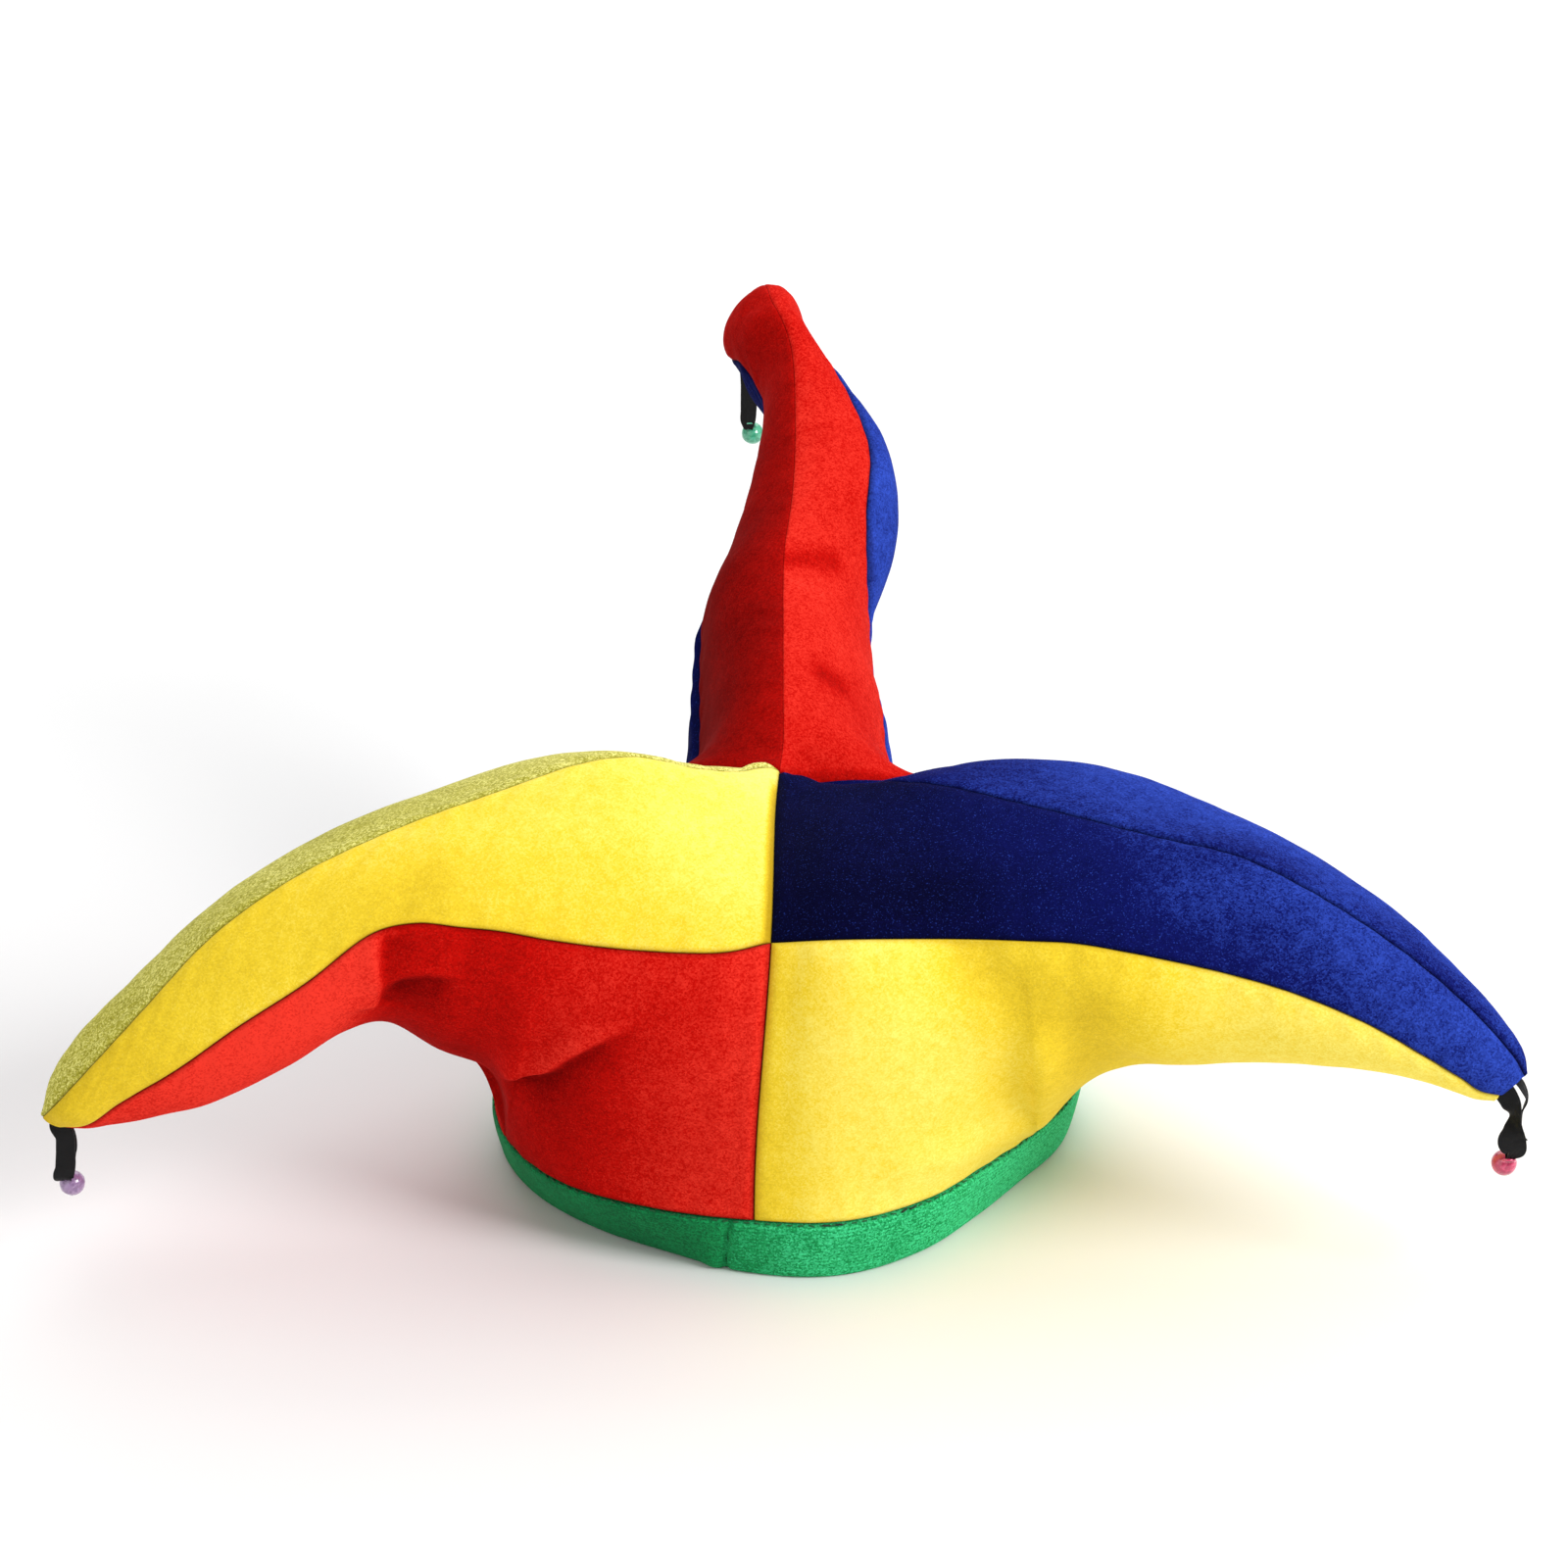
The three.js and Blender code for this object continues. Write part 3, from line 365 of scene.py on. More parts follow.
@dataclass(frozen=True)
class HornShape:
    """A horn's sewn lines, from its table of sections."""

    name: str
    angle: float
    near: Valley
    far: Valley
    reach: float
    rows: tuple[Section, ...]
    near_slope: float
    far_slope: float

    @property
    def ahead(self) -> Array:
        """Returns the level direction in which the horn points."""
        return compass(self.angle)

    @property
    def near_side(self) -> Array:
        """Returns the level direction square to the horn, towards its near half."""
        side = compass(self.angle + 90)
        return side if side @ compass(self.near.angle) > 0 else -side

    def side_of(self, half: Half) -> Array:
        """Returns the level direction towards one half."""
        return self.near_side if half is Half.NEAR else -self.near_side

    def _place(self, triple: Triple, turn: int = 1) -> Array:
        """Returns the point for one entry of the table."""
        along, rise, side = triple
        level = self.ahead * along * self.reach + self.near_side * turn * side * BRIM.radius
        return level + UP * rise * SIZES.crown_height

    def line(self, which: str, at: Array) -> Array:
        """Reads one of the horn's sewn lines.

        Args:
            which: ridge, near, far or under.
            at: places along the horn, from 0 to 1.

        Returns:
            One point for each place.
        """
        if which == "under":
            rows = [row for row in self.rows if row.under]
            start = BRIM.point(
                np.array(self.angle), SIZES.foot_inset, BRIM.band_height + SIZES.foot_lift
            )
            places = [SIZES.armpit] + [row.at for row in rows]
            return smooth_rows(places, np.array([start] + [self._place(r.under) for r in rows]), at)
        first = {
            "ridge": np.array([SIZES.crown_offset, 0, SIZES.crown_height]),
            "near": self.near.crossing(SIZES, BRIM),
            "far": self.far.crossing(SIZES, BRIM),
        }[which]
        turn = -1 if which == "far" else 1
        points = [first] + [self._place(getattr(row, which), turn) for row in self.rows]
        return smooth_rows([0.0] + [row.at for row in self.rows], np.array(points), at)

    def section(self, half: Half, at: Array) -> HornSection:
        """Finds the points and directions of one half's sections.

        Args:
            half: which side of the ridge seam.
            at: places along the horn.

        Returns:
            The section's points and directions, with a row for each place.
        """
        s = SIZES
        valley = self.near if half is Half.NEAR else self.far
        ridge = self.line("ridge", at)
        seam = self.line(half.value, at)
        other = self.line("far" if half is Half.NEAR else "near", at)
        across = unit(seam - other)
        centre = (seam + other) / 2
        inward = centre - ridge
        inward = unit(inward - across * dot(inward, across))
        from_valley = (1 - eased(at, 0, s.valley_ease))[:, None]
        own_slope = self.near_slope if half is Half.NEAR else self.far_slope
        slope = np.radians(mix(own_slope, s.valley_slope, from_valley))
        sideways = unit(mix(across, compass(valley.angle), from_valley))
        fall = unit(mix(inward, -UP, from_valley))
        ridge_leaving = unit(sideways * np.cos(slope) + fall * np.sin(slope))

        swing = (self.angle - valley.foot + 540) % 360 - 180
        on_band = np.minimum(at / s.armpit, 1)
        foot_angle = valley.foot + swing * on_band
        foot = BRIM.point(foot_angle, s.foot_inset, BRIM.band_height + s.foot_lift)
        bottom = np.where((at <= s.armpit)[:, None], foot, self.line("under", at))
        flare = (np.radians(s.foot_flare) * eased(on_band, s.flare_start, 1))[:, None]
        down_in = -UP * np.cos(flare) - compass(foot_angle) * np.sin(flare)
        turned = eased(at, s.armpit - s.armpit_blend, s.armpit + s.armpit_blend)[:, None]
        arriving = unit(mix(down_in, -across, turned))
        upper = seam - ridge
        under = bottom - seam
        passing = unit(upper / dot(upper, upper) + under / dot(under, under))
        nearing = eased(at, s.armpit - s.armpit_before, s.armpit)
        leaving = eased(at, s.armpit, s.armpit + s.armpit_after)
        grip = mix(1.0, s.armpit_grip, (nearing * (1 - leaving))[:, None])
        return HornSection(ridge, seam, bottom, centre, across, ridge_leaving, passing, arriving, grip)

    def surface(self, half: Half, cloth: Cloth, at: Array, shares: Array) -> Array:
        """Finds points of the horn's cloth.

        Args:
            half: which side of the ridge seam.
            cloth: above or below the side seam.
            at: places along the horn, one a row.
            shares: shares across the cloth, rows by columns.

        Returns:
            Points, rows by columns by 3.
        """
        s = self.section(half, at)
        if cloth is Cloth.UPPER:
            return arc(s.ridge, s.ridge_leaving, s.seam, s.seam_passing, shares)
        return arc(s.seam, s.seam_passing, s.bottom, s.bottom_arriving, shares, s.grip)


LEFT_HORN = HornShape("left", 200, FRONT_VALLEY, LEFT_VALLEY, 246, LEFT_SECTIONS, 18, 16)
RIGHT_HORN = HornShape("right", -22, FRONT_VALLEY, RIGHT_VALLEY, 243, RIGHT_SECTIONS, 7, 12)
BACK_HORN = HornShape("back", 90, RIGHT_VALLEY, LEFT_VALLEY, 246, BACK_SECTIONS, 10, 10)


@dataclass(frozen=True)
class Fold:
    """A fold in the cloth along a path of points, in millimetres from the brim's centre.

    The cloth rises by rise on the path, and stands out by lip on the side that is above a path that
    runs to the right, where it overhangs the other side. The fold also paints light and shade into the
    pile's colour in the same shapes: darker or lighter along the path, and a painted highlight on the lip
    with painted shade below it.
    """

    path: tuple[Triple, ...]
    width: float
    rise: float = 0.0
    lip: float = 0.0
    fade: float = 0.25
    edge: float = 1.3
    rise_painted_light: float = 0.0
    lip_painted_light: float = 0.0

    def shape(self, points: Array, outward: Array) -> tuple[Array, Array]:
        """Works out how far cloth moves at this fold, and the light and shade that it paints into the pile.

        Args:
            points: a grid of cloth.
            outward: its outward directions.

        Returns:
            The movement outward at each point, in millimetres, and the painted light and shade, as a change
            in the pile's tone.
        """
        knots = np.linspace(0, 1, len(self.path))
        line = smooth_rows(knots, np.array(self.path), np.linspace(0, 1, 8 * len(self.path)))
        nearest = np.full(points.shape[:-1], 1e9)
        side = np.zeros(points.shape[:-1])
        place = np.zeros(points.shape[:-1])
        for k, (start, end) in enumerate(zip(line, line[1:])):
            run = end - start
            share = np.clip((points - start) @ run / (run @ run), 0, 1)
            away = points - start - share[..., None] * run
            distance = np.linalg.norm(away, axis=-1)
            closer = distance < nearest
            nearest = np.where(closer, distance, nearest)
            turned = np.sum(np.cross(outward, unit(run)) * away, axis=-1)
            side = np.where(closer, turned, side)
            place = np.where(closer, (k + share) / (len(line) - 1), place)
        ends = eased(place, 0, self.fade) * (1 - eased(place, 1 - self.fade, 1))
        swell = np.exp(-((nearest / self.width) ** 2))
        step = np.tanh(side / self.edge) * np.exp(-nearest / self.width) * ends
        return self.rise * swell + self.lip * step, self.rise_painted_light * swell + self.lip_painted_light * step


PANEL_FOLDS: dict[str, tuple[Fold, ...]] = {
    "left_near_lower": (
        Fold(
            ((-127.5, -79.2, 93.1), (-125.5, -83.1, 101.1), (-125.8, -85, 111.5), (-125, -82.4, 121.2)),
            width=7,
            rise=-0.8,
            lip=1.9,
            fade=0.1,
            lip_painted_light=0.3,
        ),
        Fold(
            ((-125.5, -81, 98), (-119.5, -82.6, 104.7), (-110.5, -82.6, 106.2), (-100, -82, 104)),
            width=9,
            lip=1.1,
            lip_painted_light=0.25,
        ),
        Fold(((-96.5, -44, 50), (-96, -34, 38)), width=12, rise=-2.6),
        Fold(
            (
                (-92.6, -62.6, 59.1),
                (-86, -71.7, 64.3),
                (-75.9, -77.6, 69.8),
                (-69.3, -81.8, 76.6),
                (-59.6, -85.3, 84.1),
                (-44.3, -86.9, 93.9),
            ),
            width=11,
            lip=3.0,
            fade=0.3,
            lip_painted_light=0.42,
        ),
    ),
    "left_far_lower": (
        Fold(((-101, -8, 28), (-102, -16, 33), (-106, -19, 42), (-112, -24, 50)), width=12, rise=-6.0),
    ),
    "left_near_upper": (
        Fold(
            ((-114.3, -78.6, 128.1), (-112.9, -73.5, 133.8)), width=12, rise=-2.2, rise_painted_light=-0.15
        ),
    ),
    "right_near_lower": (
        Fold(
            ((54.3, -85.3, 110.1), (69.3, -89.3, 101.8), (84.4, -87.8, 89.3), (103.8, -72.1, 69.4)),
            width=13,
            rise=-3.4,
            rise_painted_light=-0.08,
        ),
        Fold(((37.1, -80.3, 38.2), (58.5, -65.6, 36.4), (78.1, -48.2, 34.8)), width=9, rise=1.5),
        Fold(((70, -46, 26), (72.5, -43.5, 30)), width=1.8, rise=-1.1),
    ),
    "right_near_upper": (Fold(((42, -50, 139), (85, -62, 136)), width=16, rise=-1.2),),
    "right_far_upper": (Fold(((3, 9, 134), (20, 7, 135), (36, 0, 138)), width=11, rise=-5.0),),
    "back_near_upper": (
        Fold(((-2.7, 91.7, 171.2), (13.5, 101.9, 166.8)), width=5, rise=-1.0, rise_painted_light=-0.3),
        Fold(((10, 48, 149), (25, 50, 143)), width=5, rise=-0.8, rise_painted_light=-0.3),
    ),
    "back_near_lower": (
        Fold(((30, 115, 150), (31, 140, 165), (29, 165, 185)), width=14, rise=2.4),
    ),
    "back_far_lower": (Fold(((-31, 60, 95), (-33, 80, 115), (-32, 100, 135)), width=14, rise=2.4),),
}

# How bright the pile looks on each panel, from 0 dark to 1 bright: how the nap lies,
# together with painted light and shade. Columns: place along the horn, value at the first seam, value at
# the last seam.
PILE_LIE_AND_PAINTED_LIGHT: dict[str, tuple[Triple, ...]] = {
    "left_near_upper": (
        *((0, 0.95, 0.6), (0.15, 0.8, 0.58), (0.5, 0.62, 0.46), (0.8, 0.45, 0.46), (1, 0.15, 0.3)),
    ),
    "left_far_upper": ((0, 0.8, 0.5), (0.3, 0.6, 0.5), (1, 0.5, 0.5)),
    "left_near_lower": (
        *((0, 0.8, 0.75), (0.12, 0.62, 0.6), (0.3, 0.52, 0.2), (0.5, 0.36, 0.2)),
        *((0.6, 0.4, 0.35), (0.66, 0.8, 0.7), (1, 0.75, 0.6)),
    ),
    "left_far_lower": ((0, 0.4, 0.4), (1, 0.4, 0.4)),
    "right_near_upper": (
        *((0, 0.05, 0.0), (0.25, 0.16, 0.06), (0.45, 0.42, 0.25)),
        *((0.6, 0.62, 0.42), (0.85, 0.76, 0.6), (1, 0.84, 0.74)),
    ),
    "right_far_upper": ((0, 0.3, 0.5), (0.35, 0.55, 0.8), (0.8, 0.58, 0.85), (1, 0.55, 0.75)),
    "right_near_lower": (
        *((0, 0.45, 0.4), (0.08, 0.66, 0.66), (0.3, 0.56, 0.62)),
        *((0.45, 0.42, 0.46), (0.6, 0.62, 0.6), (1, 0.78, 0.7)),
    ),
    "right_far_lower": ((0, 0.5, 0.5), (1, 0.5, 0.5)),
    "back_near_upper": ((0, 0.5, 0.5), (0.3, 0.66, 0.6), (0.6, 0.7, 0.66), (1, 0.5, 0.45)),
    "back_far_upper": ((0, 0.26, 0.04), (0.7, 0.26, 0.03), (0.88, 0.42, 0.25), (1, 0.25, 0.25)),
    "back_near_lower": ((0, 0.35, 0.3), (0.5, 0.85, 0.8), (1, 0.5, 0.5)),
    "back_far_lower": ((0, 0.2, 0.2), (1, 0.3, 0.3)),
}

# Folds that cross seams move every panel straight up or down, so the seams stay shut.
CROSSING_FOLDS: tuple[Fold, ...] = (
    Fold(((12, -3.5, 138.5), (21, -7.5, 141)), width=7, rise=-4.2),
    Fold(((3.5, -2, 138), (6, -5, 138)), width=4, rise=1.2),
    Fold(((-9, 0, 137), (-12, -1, 137.5)), width=4.5, rise=2.2),
    Fold(((-19, 1, 139), (-24, 2, 140)), width=6, rise=-1.2),
    Fold(((9, 5.5, 135), (21, 12.5, 134), (36, 21.5, 128)), width=8, rise=-4.5),
    Fold(((-15.4, 208.1, 218.1), (-9, 201.8, 221.5), (-3.1, 197.7, 219.9)), width=3, rise=-1.8),
)


# Finishes


class NodeTree:
    """A little help for laying out shader and geometry nodes."""

    def __init__(self, tree: bpy.types.NodeTree) -> None:
        """Keeps the tree that nodes are added to."""
        self.tree = tree

    def put(self, socket: bpy.types.NodeSocket, value: object) -> None:
        """Links another socket into this one, or sets a constant on it."""
        if isinstance(value, bpy.types.NodeSocket):
            self.tree.links.new(value, socket)
        else:
            socket.default_value = value

    def feed(self, node: bpy.types.Node, inputs: dict[str, object]) -> None:
        """Gives a node's inputs their sockets or constants by name."""
        for name, value in inputs.items():
            self.put(node.inputs[name], value)

    def add(
        self, kind: str, inputs: dict[str, object] | None = None, **settings: object
    ) -> bpy.types.Node:
        """Adds a node.

        Args:
            kind: the node's type.
            inputs: a socket or a constant by input name.
            settings: the node's own properties.

        Returns:
            The new node.
        """
        node = self.tree.nodes.new(kind)
        for name, value in settings.items():
            setattr(node, name, value)
        self.feed(node, inputs or {})
        return node

    def math(self, operation: str, *terms: object, clamp: bool = False) -> bpy.types.NodeSocket:
        """Adds a sum of sockets and numbers and returns its socket."""
        node = self.add("ShaderNodeMath", operation=operation, use_clamp=clamp)
        for socket, term in zip(node.inputs, terms):
            self.put(socket, term)
        return node.outputs[0]

    def blend(self, a: object, b: object, share: bpy.types.NodeSocket) -> bpy.types.NodeSocket:
        """Adds a blend of two colours, each a socket or a constant, and returns its socket."""
        node = self.add("ShaderNodeMix", {"Factor": share, "A": a, "B": b}, data_type="RGBA")
        return node.outputs["Result"]

    def ranged(
        self, value: bpy.types.NodeSocket, old: tuple[float, float], new: tuple[float, float]
    ) -> bpy.types.NodeSocket:
        """Adds a change from one range to another, held at its ends, and returns its socket."""
        ends = {"From Min": old[0], "From Max": old[1], "To Min": new[0], "To Max": new[1]}
        return self.add("ShaderNodeMapRange", {"Value": value, **ends}).outputs["Result"]

    def bump(
        self, height: bpy.types.NodeSocket, strength: float, distance: float
    ) -> bpy.types.NodeSocket:
        """Adds a bump, its distance in metres, and returns the normal that it makes."""
        values = {"Height": height, "Strength": strength, "Distance": distance}
        return self.add("ShaderNodeBump", values).outputs["Normal"]


def start_group(
    name: str, kind: str, inputs: dict[str, tuple[str, object]], outputs: dict[str, str]
) -> tuple[NodeTree, bpy.types.NodeInputs, bpy.types.NodeOutputs]:
    """Starts a node group with named sockets.

    Args:
        name: the group's name.
        kind: the type of its tree.
        inputs: socket type and first value by name.
        outputs: socket type by name.

    Returns:
        The group's tree, the sockets that bring its inputs, and the sockets that take its results.
    """
    tree = bpy.data.node_groups.new(name, kind)
    for label, (socket_kind, value) in inputs.items():
        socket = tree.interface.new_socket(label, in_out="INPUT", socket_type=socket_kind)
        if value is not None:
            socket.default_value = value
    for label, socket_kind in outputs.items():
        tree.interface.new_socket(label, in_out="OUTPUT", socket_type=socket_kind)
    kit = NodeTree(tree)
    return kit, kit.add("NodeGroupInput").outputs, kit.add("NodeGroupOutput").inputs


def nap_group() -> bpy.types.NodeTree:
    """Builds the velour nap: how bright the pile looks, from how it lies and from painted light and shade,
    its tufts and clumps, and painted highlights as glints on their tips.

    Returns:
        A group with Place, the pile's tone with painted light and shade, Dark, Middle and Bright colours,
        and strengths, as inputs.
    """
    greys = {"Dark": 0.1, "Middle": 0.5, "Bright": 0.9}
    kit, given, result = start_group(
        "velour nap",
        "ShaderNodeTree",
        {
            "Place": ("NodeSocketVector", None),
            "Lie and Light": ("NodeSocketFloat", 0.5),
            **{name: ("NodeSocketColor", (grey, grey, grey, 1)) for name, grey in greys.items()},
            **{name: ("NodeSocketFloat", 0.5) for name in ("Tufts", "Clumps", "Glints")},
        },
        {"Colour": "NodeSocketColor", "Roughness": "NodeSocketFloat", "Height": "NodeSocketFloat"},
    )
    place = given["Place"]
    fine = 1900.0  # tufts and glints in a metre
    tuft = kit.add("ShaderNodeTexVoronoi", {"Vector": place, "Scale": fine}).outputs["Color"]
    apart = kit.add("ShaderNodeSeparateColor", {"Color": tuft}).outputs["Red"]
    clump, glint = (
        kit.add("ShaderNodeTexNoise", {"Vector": place, "Scale": scale, "Detail": detail}).outputs["Fac"]
        for scale, detail in ((240.0, 4.0), (fine, 1.0))
    )
    lively = kit.math("MULTIPLY_ADD", given["Lie and Light"], 0.7, 0.3)
    tufts = kit.math("MULTIPLY", kit.ranged(apart, (0.0, 1.0), (-0.5, 0.5)), given["Tufts"])
    clumps = kit.math("MULTIPLY", kit.ranged(clump, (0.3, 0.7), (-0.5, 0.5)), given["Clumps"])
    spread = kit.math("ADD", tufts, clumps)
    lie_and_light = kit.math("MULTIPLY_ADD", spread, lively, given["Lie and Light"])
    # The tone ramps from the dark through the middle to the bright colour, so painted light and shade go
    # into the colour here.
    to_middle = kit.math("MULTIPLY", lie_and_light, 2.0, clamp=True)
    to_bright = kit.math("MULTIPLY_ADD", lie_and_light, 2.0, -1.0, clamp=True)
    # Glints are painted highlights: sparse bright specks mixed towards the bright colour, more where the
    # pile is brighter.
    shining = kit.math("MULTIPLY", kit.ranged(glint, (0.62, 0.74), (0.0, 1.0)), given["Glints"])
    colour = kit.blend(given["Dark"], given["Middle"], to_middle)
    colour = kit.blend(colour, given["Bright"], to_bright)
    colour = kit.blend(colour, given["Bright"], kit.math("MULTIPLY", shining, lively))
    kit.put(result["Colour"], colour)
    kit.put(result["Roughness"], kit.ranged(clump, (0.0, 1.0), (0.98, 0.78)))
    kit.put(result["Height"], clump)
    return kit.tree


def seam_group() -> bpy.types.NodeTree:
    """Builds a mask for painted seam shade that is 1 in a sewn seam and fades out at Reach, in millimetres.

    Returns:
        A group with Distance and Reach as inputs and Mask as its output.
    """
    kit, given, result = start_group(
        "seam shade",
        "ShaderNodeTree",
        {"Distance": ("NodeSocketFloat", 10.0), "Reach": ("NodeSocketFloat", 1.5)},
        {"Mask": "NodeSocketFloat"},
    )
    share = kit.math("DIVIDE", given["Distance"], given["Reach"])
    kit.put(result["Mask"], kit.math("SUBTRACT", 1.0, share, clamp=True))
    return kit.tree


NAP = nap_group()
SEAM_SHADE = seam_group()


def srgb(code: str) -> tuple[float, float, float, float]:
    """Returns a linear colour for a six-figure colour code."""
    parts = [int(code[i : i + 2], 16) / 255 for i in (0, 2, 4)]
    linear = [c / 12.92 if c <= 0.04045 else ((c + 0.055) / 1.055) ** 2.4 for c in parts]
    return (*linear, 1.0)


def start_material(name: str) -> tuple[bpy.types.Material, NodeTree, bpy.types.Node]:
    """Returns a new material, its tree and its Principled shader."""
    material = bpy.data.materials.new(name)
    material.use_nodes = True
    return material, NodeTree(material.node_tree), material.node_tree.nodes["Principled BSDF"]


@dataclass(frozen=True)
class VelourFinish:
    """Short-pile velour: the colours of its pile from dark to bright, which also carry painted light and
    shade, how lively they are, and its sheen.
    """

    name: str
    slot: str
    dark: str
    middle: str
    bright: str
    tint: str
    sheen: float = 0.16
    tufts: float = 0.7
    clumps: float = 0.16
    glints: float = 0.35
    shade: float = 0.6
    shade_reach: float = 1.8
    line_reach: float = 0.42
    line_tone: float = 0.3
    ribs: float = 0.0
    gloss: float = 0.12

    def material(self) -> bpy.types.Material:
        """Builds the material.

        Returns:
            A material that reads object coordinates, the seam distance and, for ribs, the cloth's map.
        """
        material, kit, shader = start_material(self.name)
        deep = srgb(self.dark)
        values = {
            "Place": kit.add("ShaderNodeTexCoord").outputs["Object"],
            "Lie and Light": kit.add("ShaderNodeAttribute", attribute_name="lie_and_light").outputs["Fac"],
            "Dark": deep,
            "Middle": srgb(self.middle),
            "Bright": srgb(self.bright),
            "Tufts": self.tufts,
            "Clumps": self.clumps,
            "Glints": self.glints,
        }
        nap = kit.add("ShaderNodeGroup", values, node_tree=NAP).outputs
        colour = self._ribbed(kit, nap["Colour"]) if self.ribs else nap["Colour"]
        distance = kit.add("ShaderNodeAttribute", attribute_name="seam_mm").outputs["Fac"]
        # Painted shade in the seams: a wide darkening towards the dark colour, and a thin near-black line
        # at the seam itself.
        line = (*(part * self.line_tone for part in deep[:3]), 1)
        for reach, share, towards in (
            (self.shade_reach, self.shade, deep),
            (self.line_reach, 1.0, line),
        ):
            values = {"Distance": distance, "Reach": reach}
            mask = kit.add("ShaderNodeGroup", values, node_tree=SEAM_SHADE).outputs["Mask"]
            colour = kit.blend(colour, towards, kit.math("MULTIPLY", mask, share))
        look = {
            "Base Color": colour,
            "Roughness": nap["Roughness"],
            "Normal": kit.bump(nap["Height"], 0.4, 0.0006),
            "Specular IOR Level": self.gloss,
            "Sheen Weight": self.sheen,
            "Sheen Roughness": 0.4,
            "Sheen Tint": srgb(self.tint),
        }
        kit.feed(shader, look)
        return material

    def _ribbed(self, kit: NodeTree, colour: bpy.types.NodeSocket) -> bpy.types.NodeSocket:
        """Adds the knit rows that show through where the pile is thin.

        Args:
            kit: the material's tree.
            colour: the pile's colour.

        Returns:
            The colour with fine rows along the cloth.
        """
        cloth = kit.add("ShaderNodeUVMap", uv_map="cloth").outputs["UV"]
        values = {"Vector": cloth, "Scale": 0.24, "Distortion": 1.5, "Detail": 2.0, "Detail Scale": 1.5}
        rows = kit.add("ShaderNodeTexWave", values, bands_direction="Y").outputs["Fac"]
        return kit.blend(colour, srgb(self.dark), kit.math("MULTIPLY", rows, self.ribs))


@dataclass(frozen=True)
class SatinFinish:
    """Woven satin ribbon: fine ribs across it and a soft gloss."""

    name: str
    slot: str
    colour: str
    light: str

    def material(self) -> bpy.types.Material:
        """Builds the material.

        Returns:
            A material that reads the ribbon's own map, in millimetres along and across.
        """
        material, kit, shader = start_material(self.name)
        cloth = kit.add("ShaderNodeUVMap", uv_map="cloth").outputs["UV"]
        ribs = {"Scale": 0.75, "Distortion": 1.2, "Detail": 2.0, "Detail Scale": 2.0}
        threads = {"Scale": 1.1, "Distortion": 0.8, "Detail": 1.0}
        waves = [
            kit.add("ShaderNodeTexWave", {"Vector": cloth, **values}, bands_direction=axis).outputs["Fac"]
            for axis, values in (("X", ribs), ("Y", threads))
        ]
        weave = kit.math("MULTIPLY", *waves)
        look = {
            "Base Color": kit.blend(srgb(self.colour), srgb(self.light), weave),
            "Roughness": kit.ranged(weave, (0.0, 1.0), (0.5, 0.34)),
            "Normal": kit.bump(weave, 0.5, 0.0002),
            "Specular IOR Level": 0.2,
        }
        kit.feed(shader, look)
        return material


@dataclass(frozen=True)
class EnamelFinish:
    """Glossy enamel over a pressed metal bell, with slightly swirled paint."""

    name: str
    slot: str
    dark: str
    middle: str
    bright: str

    def material(self) -> bpy.types.Material:
        """Builds the material.

        Returns:
            A glossy material with paint streaks on object coordinates.
        """
        material, kit, shader = start_material(self.name)
        where = kit.add("ShaderNodeTexCoord").outputs["Object"]
        values = {"Vector": where, "Scale": 420.0, "Detail": 3.0, "Distortion": 1.6}
        streaks = kit.add("ShaderNodeTexNoise", values).outputs["Fac"]
        ramp = kit.add("ShaderNodeValToRGB", {"Fac": streaks})
        first, last = ramp.color_ramp.elements
        first.position, last.position = 0.3, 0.72
        first.color, last.color = srgb(self.dark), srgb(self.bright)
        ramp.color_ramp.elements.new(0.5).color = srgb(self.middle)
        look = {
            "Base Color": ramp.outputs["Color"],
            "Roughness": kit.ranged(streaks, (0.0, 1.0), (0.12, 0.28)),
            "Normal": kit.bump(streaks, 0.15, 0.0002),
            "Coat Weight": 0.8,
            "Coat Roughness": 0.05,
        }
        kit.feed(shader, look)
        return material


@dataclass(frozen=True)
class ThreadFinish:
    """Matt sewing thread."""

    name: str
    slot: str
    colour: str
    light: str

    def material(self) -> bpy.types.Material:
        """Builds the material.

        Returns:
            A matt material with a fine twist on object coordinates.
        """
        material, kit, shader = start_material(self.name)
        where = kit.add("ShaderNodeTexCoord").outputs["Object"]
        twist = kit.add("ShaderNodeTexNoise", {"Vector": where, "Scale": 2500.0, "Detail": 2.0})
        colour = kit.blend(srgb(self.colour), srgb(self.light), twist.outputs["Fac"])
        kit.feed(shader, {"Base Color": colour, "Roughness": 0.7})
        return material


YELLOW = VelourFinish(
    "yellow velour", "yellow_velour", "BA9612", "EECD2C", "FFF27C", "FFF6A8", tufts=0.3, line_tone=0.5
)
# The yellow velour again, with painted sheen and shade for the far half of the left horn, where the cloth
# turns away: paler and greener in its bright colour, darker in its shade.
YELLOW_PAINTED_SHEEN_AND_SHADE = VelourFinish(
    "yellow velour painted sheen and shade", "yellow_velour", "807A1A", "B4AD3C", "F6F08E", "FFFBC0", tufts=1.1
)
DEEP_PILE = {"sheen": 0.05, "gloss": 0.03}
RED = VelourFinish(
    "red velour",
    "red_velour",
    *("6C0000", "BE0C06", "EE382A", "FF4A38"),
    tufts=0.45,
    glints=0.5,
    line_tone=0.5,
    **DEEP_PILE,
)
BLUE = VelourFinish(
    "blue velour",
    "blue_velour",
    *("040424", "0C1258", "3350C0", "2038B0"),
    tufts=0.32,
    glints=0.8,
    **DEEP_PILE,
)
GREEN = VelourFinish(
    "green velour", "green_velour", "0A5A30", "189A55", "46DA94", "62DFA0", tufts=0.9, shade=0.35, ribs=0.3
)
